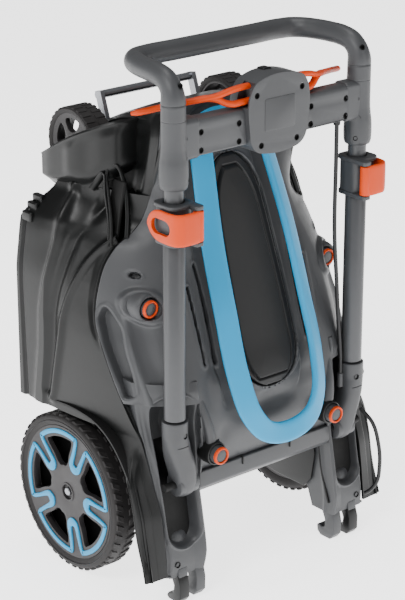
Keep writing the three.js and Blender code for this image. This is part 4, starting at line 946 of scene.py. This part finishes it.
# above the channel the front face runs into the hood
hk = sstep(205, 262, Az)
hs = hoodP(np.clip(0.5 - 0 * Az, 0, 1), Az)
xk2 = tab(HOODC, Az)[..., 1]; yk2 = tab(HOODC, Az)[..., 2]; xs2 = tab(SEAM, Az)[..., 0]
kk = np.clip((np.abs(Xl) - xk2) / np.maximum(xs2 - xk2, 1), 0, 1)
ysurf = yk2 + (yseam - yk2) * kk ** 2.0
Yl = yf_ * (1 - hk) + (ysurf + 1.5) * hk
hood_in = np.interp(Az, [36, 60, 90, 140, 165, 200, 250, 272], [3, 8, 10, 11, 15, 24, 30, 30])
Yl = Yl - hood_in * np.clip((Ax - 0.72) / 0.28, 0, 1) ** 1.3 * (1 - hk * 0.75)
outer_roll = 7.0 * np.clip(1 - (Xl - xo_) / 7.0, 0, 1) ** 2 * (1 - hk)
inner_roll = 3.0 * np.clip(1 - (xi_ - Xl) / 3.5, 0, 1) ** 2
Yl = Yl + outer_roll + inner_roll
# channel: arch at the top, rounded trough at the bottom, raised rim all round
zc1 = np.clip(Az, 92, 238)
cx, hw = -132.5, 21.5
dz = Az - zc1
rr = np.hypot(Xl - cx, dz * 1.05)
chan = hw - rr
shape = sstep(-0.5, 3.5, chan)
depth = np.interp(Az, [60, 84, 100, 150, 200, 262], [6, 15, 27, 30, 30, 26])
floor_y = Yl + depth * shape
# window in the channel: set back 24 mm, its faces get the near-black painted shade further down
win = np.minimum(sstep(86, 92, Az) * (1 - sstep(158, 164, Az)), sstep(-151, -149, Xl) * (1 - sstep(-130, -127, Xl)))
floor_y = floor_y + 24 * win * (Az < 170)
rim_up = 2.0 * np.exp(-((chan + 2.4) / 1.7) ** 2)
ball = 7.0 * np.exp(-((Xl - cx) / 13) ** 2 - ((Az - 84) / 13) ** 2) * shape
floor_y = floor_y - rim_up - ball
# long shallow groove down the outer band
floor_y += 1.6 * np.exp(-((Xl - xo_ - 3.2) / 1.1) ** 2) * (1 - hk)
LG = np.stack([Xl, floor_y, Az], -1)
painted_shade_window = (win * shape) > 0.45
back = tab(LEGB, Az)[..., 0]
for s in (-1, 1):
    side = "left" if s < 0 else "right"
    P = LG if s < 0 else mirror(LG)
    # front face
    lf = shell(side + "_leg_face", P, 2.6, [M["grey"], M["void"]], "chassis", (side + "_leg_bracket",), flip=(normals(P)[3, 40, 1] > 0))
    # faces in the window of the channel get the near-black painted shade
    for p in lf.data.polygons:
        c = p.center * 1000
        if 88 < c.z < 160 and -150.5 < (c.x if s < 0 else -c.x) < -128.5 and c.y - YS > float(np.interp(c.z, [88, 160], [-128, -106])):
            p.material_index = 1
    # flanks: outer, inner and back walls
    for nm, col in (("outer", 0), ("inner", -1)):
        zz = LG[col, :, 2]; x0 = LG[col, :, 0]; y0 = LG[col, :, 1]
        yb = tab(LEGB, zz)[..., 0] + (0 if nm == "inner" else 6)
        t = np.linspace(0, 1, 30)
        W = np.stack([np.repeat((-s) * x0[None, :] * -1 if False else (x0[None, :] if s < 0 else -x0[None, :]), 30, 0) + 0 * t[:, None], y0[None, :] + (yb - y0)[None, :] * t[:, None], np.repeat(zz[None, :], 30, 0)], -1)
        if nm == "inner":
            # stepped strengthening band
            W[..., 0] += -s * 0 + (1.6 * np.exp(-((t[:, None] - 0.35) / 0.06) ** 2)) * (1 if s < 0 else -1)
        want = (s if nm == "outer" else -s)
        nn = normals(W)[15, 100, 0]
        shell(side + "_leg_" + nm, W, 2.2, M["grey"], "chassis", (side + "_leg_bracket",), flip=(nn * want < 0))
    bp = [(-160, 36.6), (-128, 36.6), (-112, 70), (-104, 120), (-107, 121), (-116, 72), (-130, 39.5), (-160, 39.5)]
    ob = make(side + "_leg_back", *prism_vf("x", bp, min(s * 105.5, s * 158), max(s * 105.5, s * 158)), M["grey"], "chassis", (side + "_leg_bracket",))
    bevel(ob, 0.8, 2)
    # feet: outer black shoe, inner hook
    fo = [(-161, 37), (-165.5, 24), (-165.5, 7), (-160, 0.2), (-143, 0.2), (-139.5, 4), (-143, 9), (-152, 12), (-153, 22), (-146, 37)]
    ob = make(side + "_foot_shoe", *prism_vf("x", fo, min(s * 131, s * 146), max(s * 131, s * 146)), M["black"], "chassis", (side + "_outer_foot",))
    bevel(ob, 1.4, 3)
    fi = [(-160, 40), (-164, 25), (-163.5, 8), (-157, 0.2), (-140, 0.2), (-134, 5), (-133, 13), (-137, 15.5), (-142, 13), (-147, 15), (-147, 25), (-140, 40)]
    ob = make(side + "_foot_hook", *prism_vf("x", fi, min(s * 104.8, s * 119), max(s * 104.8, s * 119)), M["grey"], "chassis", (side + "_leg_bracket",))
    bevel(ob, 1.4, 3)
    fb = [(-161, 46), (-163, 34), (-134, 34), (-128, 46)]
    ob = make(side + "_foot_root", *prism_vf("x", fb, min(s * 131.5, s * 145), max(s * 131.5, s * 145)), M["grey"], "chassis", (side + "_leg_bracket",))
    bevel(ob, 1.2, 3)
    screw(side + "_leg_screw_low", (s * 146, float(tab(LEGF, 52.0)[0]) - 0.6, 52), (0, -1, 0.05), "chassis", 3.4)
    screw(side + "_leg_screw_high", (s * 108, float(tab(LEGF, 84.0)[0]) - 1.4, 82), (0, -1, 0.15), "chassis", 3.0)

for s in (-1, 1):
    side = "left" if s < 0 else "right"
    ck = [(-150, 150), (-154, 170), (-156, 200), (-154, 225), (-148, 250), (-136, 262), (-100, 262), (-98, 200), (-108, 150)]
    ob = make(side + "_hood_cheek", *prism_vf("x", [tuple(q) for q in spline(ck, 60, closed=True)], min(s * 101.5, s * 104.5), max(s * 101.5, s * 104.5)), M["grey"], "chassis", ("hood_cover",))
    bevel(ob, 1.2, 3)

# rear bar across the hood's end
rb_ = [(-152.5, 157), (-153, 137), (-147, 130), (-110, 118), (-100, 118), (-100, 123), (-142, 140), (-146.5, 157)]
ob = make("rear_bar_moulded", *prism_vf("x", rb_, -105, 105), M["grey"], "chassis", ("rear_bar",))
bevel(ob, 1.8, 4)
for x in (-38, 38):
    ob = make("bar_tab_%s" % ("l" if x < 0 else "r"), *prism_vf("x", [(-154, 158), (-154.5, 148), (-150, 148), (-150, 158)], x - 1.2, x + 1.2), M["black"], "chassis", ("rear_bar",))
    bevel(ob, 0.4, 2)

# ------------------------------------------------------------------ lower handle: tube, clamp, lever, fitting
for s in (-1, 1):
    side = "left" if s < 0 else "right"
    X0 = s * 140.6; Y0 = -150.5
    # tube with open upper end
    V, F = lathe_vf([(12.75, 236), (12.75, 492.6), (12.2, 493.2), (11.6, 493.2), (11.35, 492.6), (11.35, 236)], 0, 0, 72)
    V = np.array(V); V = np.stack([V[:, 1] + X0, V[:, 2] + Y0, V[:, 0]], -1)
    make(side + "_tube_outer", V, F, M["tube"], "lower_handle", (side + "_lower_tube",), sharp=50)
    # fitting: collar, waisted body drawn inward, eye
    sec = []
    for z, cx_, cy_, hx, hy, p in ((233.6, 140.6, -150.5, 15.0, 15.0, 2.0), (232.6, 140.6, -150.5, 15.4, 15.4, 2.0), (216, 140.6, -150.5, 15.4, 15.4, 2.0), (213, 140.4, -150.5, 15.2, 15.3, 2.1), (208, 139.5, -150.5, 15.0, 15.0, 2.4), (196, 137.6, -150.2, 15.2, 15.0, 2.9), (182, 133.5, -149.6, 15.6, 15.6, 3.2), (168, 129.5, -149, 14.6, 16.2, 3.2), (152, 127, -148.4, 13.4, 15.6, 3.0), (142, 126.4, -148, 13.0, 13.6, 2.6), (136, 126.2, -148, 11.8, 10.0, 2.3), (134.2, 126.2, -148, 9.0, 6.0, 2.1)):
        ring = []
        for i in range(48):
            a = 2 * math.pi * i / 48
            ca, sa_ = math.cos(a), math.sin(a)
            ring.append((s * (cx_ + hx * np.sign(ca) * abs(ca) ** (2 / p)), cy_ + hy * np.sign(sa_) * abs(sa_) ** (2 / p), z))
        sec.append(ring)
    sec = np.array(sec)
    zi = sec[:, 0, 2]
    zq = np.concatenate([np.linspace(233.6, 213, 14), np.linspace(212, 134.2, 50)])
    fine_ = np.stack([[[np.interp(-z, -zi, sec[:, i, k]) if k < 2 else z for k in range(3)] for i in range(48)] for z in zq])
    fine_[16:] = smooth1(fine_[16:], ax=0, times=6)
    n = len(zq); V = fine_.reshape(-1, 3); F = []
    for i in range(n - 1):
        for j in range(48):
            j2 = (j + 1) % 48
            F.append((i * 48 + j, i * 48 + j2, (i + 1) * 48 + j2, (i + 1) * 48 + j))
    F.append(list(range(48))); F.append(list(range((n - 1) * 48, n * 48))[::-1])
    ob = make(side + "_fitting_body", V, F, M["grey"], "lower_handle", (side + "_handle_fitting",))
    boolean(ob, cutter(*rod_vf((X0 - s * 4, Y0 - 26, 217), (X0 - s * 4, Y0 - 13.2, 217), 3.6, 32)), cutter(*prism_vf("x", [(-180, 203.8), (-163.6, 203.8), (-163.6, 202.8), (-180, 202.8)], min(s * 125, s * 155), max(s * 125, s * 155))))
    screw(side + "_fitting_screw", (X0 - s * 4, Y0 - 13.4, 217), (0, -1, 0), "lower_handle", 3.0)
    V, F = rod_vf((s * 112.5, -148, 150), (s * 140, -148, 150), 14.6, 64)
    ob = make(side + "_fitting_eye", V, F, M["grey"], "lower_handle", (side + "_handle_fitting",)); bevel(ob, 1.4, 3)
    # clamp block round the tube with a flange at each end
    def blk(nm, pts, z0, z1, w, mat="grey"):
        q = [(p[0] if s < 0 else -p[0], p[1]) for p in pts]
        ob = make(side + nm, *prism_vf("z", q, z0, z1), M[mat], "lower_handle", (side + "_clamp_body",))
        return ob
    body_pts = rrect(-157, -125, -167, -134, 8.0, 8)
    ob = blk("_clamp_block", body_pts, 455, 496, 1.2)
    boolean(ob, cutter(*rod_vf((X0, Y0, 440), (X0, Y0, 520), 12.9, 64)), cutter(*prism_vf("z", [(s * 125, -137), (s * 150, -137), (s * 150, -120), (s * 125, -120)], 462, 470)))
    bevel(ob, 1.4, 3)
    ob = blk("_clamp_flange", rrect(-159, -122.5, -171, -132, 9.0, 8), 494, 499, 1.2)
    boolean(ob, cutter(*rod_vf((X0, Y0, 440), (X0, Y0, 520), 11.8, 64))); bevel(ob, 1.3, 3)
    ob = blk("_clamp_base", rrect(-157.5, -124, -170, -133, 8.0, 8), 451, 456, 1.0)
    boolean(ob, cutter(*rod_vf((X0, Y0, 440), (X0, Y0, 520), 12.9, 64))); bevel(ob, 1.0, 3)
    ob = blk("_clamp_ear", rrect(-135, -122.5, -183, -160, 4.0, 6), 451.5, 456.5, 0.8); bevel(ob, 0.9, 3)
    ob = blk("_clamp_ear_top", rrect(-135, -122.5, -183, -160, 4.0, 6), 493.5, 498.6, 0.8); bevel(ob, 0.9, 3)
    # quick lever: thick plate in front, wrapped round the side as a closed loop with an oval window
    path = spline([(-127.5, -181.2), (-134, -182.4), (-146, -182.6), (-154, -181.6), (-159.4, -177.5), (-161.4, -170), (-161.6, -155), (-161.2, -142), (-160.6, -131)], 90)
    P = np.array([(p[0] if s < 0 else -p[0], p[1], 475.0) for p in path])
    L_ = np.concatenate([[0], np.cumsum(np.linalg.norm(np.diff(path, axis=0), axis=1))]); L_ = L_ / L_[-1]
    hh = 18.6 * np.sqrt(np.clip(1 - np.clip((L_ - 0.70) / 0.30, 0, 0.985) ** 2.2, 0, 1))
    prof = []
    for i in range(32):
        a = 2 * math.pi * i / 32
        ca, sa_ = math.cos(a), math.sin(a)
        prof.append((2.3 * np.sign(ca) * abs(ca) ** 0.6, np.sign(sa_) * abs(sa_) ** 0.35))
    V, F = sweep_vf(P, prof, scale=[(1.0, h) for h in hh], up=(0, 0, 1))
    ob = make(side + "_lever_loop", V, F, M["orange"], body="left_lever" if s < 0 else "right_lever", rep=(side + "_clamp_lever",)) if False else make(side + "_lever_loop", V, F, M["orange"], side + "_lever", (side + "_clamp_lever",))
    win = rrect(-171.5, -138.5, 466.0, 484.0, 8.6, 8)
    boolean(ob, cutter(*prism_vf("x", win, min(s * 150, s * 172), max(s * 150, s * 172))))
    bevel(ob, 0.9, 3, 50)
    V, F = rod_vf((s * 128, -178.3, 457.4), (s * 128, -178.3, 492.6), 6.0, 48)
    ob = make(side + "_lever_barrel", V, F, M["orange"], side + "_lever", (side + "_clamp_lever",)); bevel(ob, 1.0, 3)

# ------------------------------------------------------------------ upper handle
V0 = None
for s in (-1, 1):
    side = "left" if s < 0 else "right"
    X0 = s * 140.6; Y0 = -150.5
    V, F = lathe_vf([(11.0, 270), (11.0, 604), (9.6, 604), (9.6, 270)], 0, 0, 64)
    V = np.array(V); V = np.stack([V[:, 1] + X0, V[:, 2] + Y0, V[:, 0]], -1)
    make(side + "_tube_inner", V, F, M["tube"], "upper_handle", (side + "_inner_tube",), sharp=50)
    # sleeve: bell foot, waist, long barrel with two fine joints, swelling inward to meet the crossbar
    zz = [514, 515.5, 519, 528, 537, 543, 550, 558, 566, 580, 590, 591.4, 592, 592.6, 600, 608.6, 609.4, 610]
    rx = [14.6, 15.6, 16.4, 16.8, 16.6, 16.2, 15.2, 14.4, 14.1, 14.1, 14.1, 14.1, 13.6, 14.1, 14.1, 14.1, 13.7, 13.5]
    zq = np.concatenate([np.linspace(514, 590, 60), [590.8, 591.4, 591.7, 592.3, 592.6, 593.2], np.linspace(594, 608.4, 10), [609, 609.5, 610]])
    rq = np.interp(zq, zz, rx)
    sw = 7.5 * np.exp(-((zq - 569) / 21.0) ** 4)            # towards the crossbar
    V = []
    for z, r, b in zip(zq, rq, sw):
        for i in range(56):
            a = 2 * math.pi * i / 56
            ca, sa_ = math.cos(a), math.sin(a)
            ext = b * max(0, -ca) ** 1.5
            V.append((s * (140.6 + (r + ext) * ca), Y0 + (r - 0.25 * b * max(0, -ca)) * sa_, z))
    F = []
    n = len(zq)
    for i in range(n - 1):
        for j in range(56):
            j2 = (j + 1) % 56
            F.append((i * 56 + j, i * 56 + j2, (i + 1) * 56 + j2, (i + 1) * 56 + j))
    F.append(list(range(56))); F.append(list(range((n - 1) * 56, n * 56))[::-1])
    make(side + "_sleeve_moulded", V, F, M["grey"], "upper_handle", (side + "_sleeve",), sharp=45)
    ob = make(side + "_sleeve_tongue", *prism_vf("x", rrect(-161.8, -138, 545, 592, 6), min(s * 112, s * 134), max(s * 112, s * 134)), M["grey"], "upper_handle", (side + "_sleeve",))
    bevel(ob, 2.0, 4)
    # crossbar half: box beam with a soft ledge under its top edge
    bar = [(-161.5, 550), (-160.4, 548.2), (-158, 547.4), (-141, 547.4), (-137.5, 550), (-137, 556), (-137, 583), (-138.5, 588.5), (-143, 590.2), (-156, 590.2), (-159.6, 589.0), (-161.2, 586.2), (-161.6, 583)]
    ob = make(side + "_bar_moulded", *prism_vf("x", bar, min(s * 43.5, s * 117.5), max(s * 43.5, s * 117.5)), M["grey"], "upper_handle", (side + "_crossbar",))
    boolean(ob, *[cutter(*rod_vf((s * x, -170, z), (s * x, -158.0, z), 3.5, 28)) for x in (110, 54.6) for z in (575, 554)])
    bevel(ob, 0.9, 3)
    for x in (110, 54.6):
        for z in (575, 554):
            screw("%s_bar_screw_%d_%d" % (side, x, z), (s * x, -161.0, z), (0, -1, 0), "upper_handle", 3.0)
    for k, (x, z) in enumerate(((128.0, 571), (127.0, 523), (131, 548))):
        a = Vector((s * (x - 140.6), -10.5, 0)).normalized()
        r_ = 14.8 if z != 523 else 16.6
        pnt = Vector((X0, Y0, z)) + a * r_
        screw("%s_sleeve_screw_%d" % (side, k), tuple(pnt), tuple(a), "upper_handle", 2.5)

# control box: chamfered top corners, rounded bottom, soft front edge
bo = [(-44, 562), (-44, 604), (-42.5, 608), (-34, 618.6), (-28, 621), (28, 621), (35, 618.6), (42.5, 609), (44, 605), (44, 562), (42.5, 552), (38, 542.5), (30, 536.8), (20, 534.5), (-20, 534.5), (-30, 536.8), (-38, 542.5), (-42.5, 552)]
bo = [tuple(p) for p in spline(bo, 110, closed=True)]
ob = make("control_box_front", *prism_vf("y", bo, -168, -135), M["grey"], "upper_handle", ("control_box",))
cs = [cutter(*rod_vf((x, -175, z), (x, -164.5, z), 3.7, 32)) for x, z in ((-34, 604), (34, 604), (-27, 545), (27, 545))]
cs += [cutter(*prism_vf("y", rrect(min(a, b), max(a, b), 590.5, 619.5, 4), -166.0, -147)) for a, b in ((-60, -34), (34, 60))]
boolean(ob, *cs)
bevel(ob, 2.6, 5, 40)
for k, (x, z) in enumerate(((-34, 604), (34, 604), (-27, 545), (27, 545))):
    screw("box_screw_%d" % k, (x, -167.2, z), (0, -1, 0), "upper_handle", 3.2)
ob = make("control_box_back", *prism_vf("y", [(0.955 * a, 578 + 0.965 * (b - 578)) for a, b in bo], -136.5, -131.5), M["grey2"], "upper_handle", ("control_box",))
bevel(ob, 2.2, 4)
# plain raised plate where a rating label would be
ob = make("box_blank_plate", *prism_vf("y", rrect(-22, 24, 560, 598, 3), -168.5, -167.6), M["grey2"], "upper_handle", ("control_box",))
bevel(ob, 0.3, 2)
ob = make("start_key_cap", *prism_vf("y", rrect(-7, 7, 606, 627, 3.2), -147, -134.5), M["black"], "start_key", ("start_button",))
bevel(ob, 1.6, 4)

# grip: one soft bow with a flatter palm
gp = spline([(-140.6, -150.5, 610.2), (-140.6, -150.3, 616), (-140.4, -147.5, 625), (-140, -138, 634.5), (-139.4, -124, 638.4), (-138, -104, 639.4), (-134.5, -84, 639.5), (-127, -66, 639.5), (-116, -56, 639.5), (-102, -53, 639.5),
             (-60, -53, 639.5), (0, -53, 639.5), (60, -53, 639.5), (102, -53, 639.5), (116, -56, 639.5), (127, -66, 639.5), (134.5, -84, 639.5), (138, -104, 639.4), (139.4, -124, 638.4), (140, -138, 634.5), (140.4, -147.5, 625), (140.6, -150.3, 616), (140.6, -150.5, 610.2)], 300)
tg = np.linspace(0, 1, 300)
rg = 12.2 + 1.9 * np.exp(-((np.minimum(tg, 1 - tg) - 0.0) / 0.030) ** 2)
V, F = sweep_vf(gp, circ(1.0, 44), scale=[(r, r) for r in rg], up=(0, 1, 0.02))
grip = make("grip_bow", V, F, M["grey"], "upper_handle", ("grip_bar",), sharp=60)
boolean(grip, *[cutter(*rod_vf((s * 136.5, -178, 632), (s * 137.2, -156.5, 631), 3.6, 28)) for s in (-1, 1)], sharp=45)
for s in (-1, 1):
    screw(("left" if s < 0 else "right") + "_grip_screw", (s * 136.9, -158.6, 631.2), (0, -1, 0.2), "upper_handle", 2.8)

# ------------------------------------------------------------------ bail: a wing on each side
for s in (-1, 1):
    side = "left" if s < 0 else "right"
    w1 = spline([(s * 158, -97.5, 591), (s * 148, -104, 592.8), (s * 132, -113, 596), (s * 104, -130, 601.5), (s * 74, -147, 607), (s * 60, -151, 611), (s * 46, -153, 613), (s * 30, -153, 613)], 90)
    t1 = np.linspace(0, 1, 90)
    V, F = sweep_vf(w1, circ(1.0, 24), scale=[(4.3 * min(1, 0.55 + 9 * t), 3.6 * min(1, 0.55 + 9 * t)) for t in t1])
    make(side + "_bail_arm", V, F, M["orange"], "bail", ("start_bail",), sharp=60)
    w2 = spline([(s * 96, -134.5, 603), (s * 84, -141.5, 604.6), (s * 74, -147, 602.5), (s * 66, -150.5, 598), (s * 58, -153.2, 596), (s * 46, -155.5, 596.6), (s * 30, -156, 597)], 70)
    V, F = sweep_vf(w2, circ(1.0, 24, 1.0), scale=[(4.4, 3.8)] * 70)
    make(side + "_bail_prong", V, F, M["orange"], "bail", ("start_bail",), sharp=60)
    V, F = rod_vf((s * 96, -134.2, 603.2), (s * 78, -145.2, 604.6), 4.1, 20)

# ------------------------------------------------------------------ press keys
for s in (-1, 1):
    side = "left" if s < 0 else "right"
    for nm, x, z, y0, y1, body in (("height", 139, 357, -107.5, -78, "_height_key"), ("fold", 92, 183, -178.5, -150, "_fold_key")):
        def cyl(name, prof, mat, bd, rep):
            V, F = lathe_vf(prof, 0, 0, 72)
            V = np.array(V); V = np.stack([V[:, 1] + s * x, V[:, 0], V[:, 2] + z], -1)
            return make(name, V, F, M[mat], bd, rep, sharp=40)
        cyl(side + "_%s_key_ring" % nm, [(7.9, y0 + 1.0), (8.3, y0 + 0.2), (9.4, y0), (10.3, y0 + 0.6), (10.6, y0 + 1.6), (10.6, y0 + 3.4), (7.9, y0 + 3.4)], "orange", side + body, (side + "_%s_button" % nm,))
        cyl(side + "_%s_key_barrel" % nm, [(0.01, y0 + 1.6), (6.4, y0 + 1.2), (7.7, y0 + 1.8), (7.8, y0 + 3.2), (10.7, y0 + 3.5), (11.0, y0 + 4.2), (11.0, y1), (0.01, y1)], "grey2", side + body, (side + "_%s_button" % nm,))
    # boss of the height key
    V, F = lathe_vf([(12.8, -101.5), (14.0, -102.6), (15.6, -102.2), (17.2, -100), (18.2, -94), (19, -84), (12.8, -84)], 0, 0, 72)
    V = np.array(V); V = np.stack([V[:, 1] + s * 139, V[:, 0], V[:, 2] + 357], -1)
    make(side + "_height_boss", V, F, M["grey"], "chassis", ("hood_cover",), sharp=45)
    # arm and socket of the fold key
    V, F = lathe_vf([(11.6, -168), (12.6, -169.2), (14.0, -168.6), (14.6, -166), (14.8, -150), (11.6, -150)], 0, 0, 72)
    V = np.array(V); V = np.stack([V[:, 1] + s * 92, V[:, 0], V[:, 2] + 183], -1)
    make(side + "_fold_boss", V, F, M["black"], "chassis", ("hood_cover",), sharp=45)
    ap = spline([(s * 104, -140, 262), (s * 101, -150, 240), (s * 97, -158, 216), (s * 94, -160, 198), (s * 92, -159, 186)], 50)
    V, F = sweep_vf(ap, circ(1.0, 20), scale=[(4.5 + 2.5 * t, 6.0) for t in np.linspace(0, 1, 50)])
    make(side + "_fold_arm", V, F, M["grey"], "chassis", ("hood_cover",))

# ------------------------------------------------------------------ cables on the right side
def cable(name, pts):
    P = to_m(spline(pts, 30))
    cu = bpy.data.curves.new(name, "CURVE"); cu.dimensions = "3D"; cu.bevel_depth = 0.0025; cu.bevel_resolution = 5; cu.resolution_u = 6; cu.use_fill_caps = True
    sp = cu.splines.new("POLY"); sp.points.add(len(P) - 1)
    for q, p in zip(sp.points, P):
        q.co = (*p, 1)
    ob = bpy.data.objects.new(name, cu); COL.objects.link(ob); cu.materials.append(M["cable"])
    return ob, P


UP = [(107, -150, 547.2), (107.2, -150, 500), (108, -150, 400), (113, -150, 345), (117.5, -150, 293), (121.5, -150.2, 255), (122.5, -150.5, 236), (122.5, -150.5, 222.4)]
LO = [(156.5, -153, 166), (163, -168, 150), (168, -176, 120), (170, -177, 90), (168, -174, 66), (163, -167, 54), (160, -162.5, 50)]
for nm, pts, a, b, ia, ib, rep in (("handle_cable", UP, "lower_handle", "upper_handle", -1, 0, "upper_cable"), ("fold_cable_loop", LO, "chassis", "lower_handle", -1, 0, "cable_loop")):
    line = spline(pts, 40)
    V, F = sweep_vf(line, circ(2.5, 20))
    ob = make(nm, V, F, M["cable"], None, (rep,), sharp=60)
    m_ = to_m(line)
    tuple(float(c) for c in to_m(np.array(pts[ia])))
    tuple(float(c) for c in to_m(np.array(pts[ib])))
    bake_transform(ob)
# boss that the cable enters on the right fitting
V, F = rod_vf((122.5, -150.5, 204), (122.5, -150.5, 222), 4.4, 32, 3.6)
ob = make("cable_gland", V, F, M["grey"], "lower_handle", ("right_handle_fitting",)); bevel(ob, 0.8, 3)
V, F = rod_vf((107, -150, 541), (107, -150, 549), 4.0, 32, 4.6)
ob = make("cable_gland_top", V, F, M["black"], "upper_handle", ("right_crossbar",)); bevel(ob, 0.7, 3)
# round bolt end on the outer side of the right fitting
V, F = rod_vf((147, -150.5, 216), (160, -150.5, 214), 5.0, 32, 4.6)
ob = make("fitting_bolt_right", V, F, M["grey"], "lower_handle", ("right_handle_fitting",)); bevel(ob, 1.2, 3)
for p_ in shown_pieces():
    pass

WORLD = 0.26
LIGHTS = [
    ("key", (-1.9, -0.7, 2.4), (0, 0, 0.35), 0.9, 44.0, "RECTANGLE", 0.8),
    ("rim_left", (-2.6, 0.7, 0.9), (0, 0, 0.35), 0.35, 16.0, "RECTANGLE", 1.8),
    ("front", (0.7, -2.6, 1.2), (0, 0, 0.3), 0.6, 12.0, "RECTANGLE", 1.6),
    ("top", (0.1, 0.1, 2.6), (0, 0, 0.3), 0.7, 20.0, "RECTANGLE", 1.2),
]


# ------------------------------------------------------------------ stage, light, camera
def plane(name, z, size, mat):
    me = bpy.data.meshes.new(name)
    s = size
    me.from_pydata([(-s, -s, z), (s, -s, z), (s, s, z), (-s, s, z)], [], [(0, 1, 2, 3)])
    ob = bpy.data.objects.new(name, me); COL.objects.link(ob); me.materials.append(mat)
    return ob


fm = bpy.data.materials.new("floor_pale"); fm.use_nodes = True
fm.node_tree.nodes["Principled BSDF"].inputs["Base Color"].default_value = (0.92, 0.92, 0.92, 1)
fm.node_tree.nodes["Principled BSDF"].inputs["Roughness"].default_value = 0.9
fm.node_tree.nodes["Principled BSDF"].inputs["Emission Color"].default_value = (1, 1, 1, 1)
fm.node_tree.nodes["Principled BSDF"].inputs["Emission Strength"].default_value = 2.6
plane("floor", -0.001, 30.0, fm)

w = bpy.data.worlds.new("studio"); bpy.context.scene.world = w; w.use_nodes = True
w.node_tree.nodes["Background"].inputs["Color"].default_value = (1.0, 1.0, 1.0, 1)
w.node_tree.nodes["Background"].inputs["Strength"].default_value = WORLD


def area(name, loc, target, size, power, shape="RECTANGLE", size_y=None):
    d = bpy.data.lights.new(name, "AREA"); d.energy = power; d.size = size; d.shape = shape
    if size_y: d.size_y = size_y
    o = bpy.data.objects.new(name, d); COL.objects.link(o)
    o.location = loc
    o.rotation_euler = (Vector(target) - Vector(loc)).to_track_quat("-Z", "Y").to_euler()
    return o


for args in LIGHTS:
    area(*args)

cd = bpy.data.cameras.new("cam"); cd.lens = 122.74; cd.sensor_width = 36.0; cd.sensor_fit = "AUTO"; cd.clip_end = 60
cam = bpy.data.objects.new("cam", cd); COL.objects.link(cam)
cam.location = (-1.50194, -1.77306, 1.20219)
cam.rotation_euler = (math.radians(69.166), 0.0, math.radians(-40.015))
bpy.context.scene.camera = cam
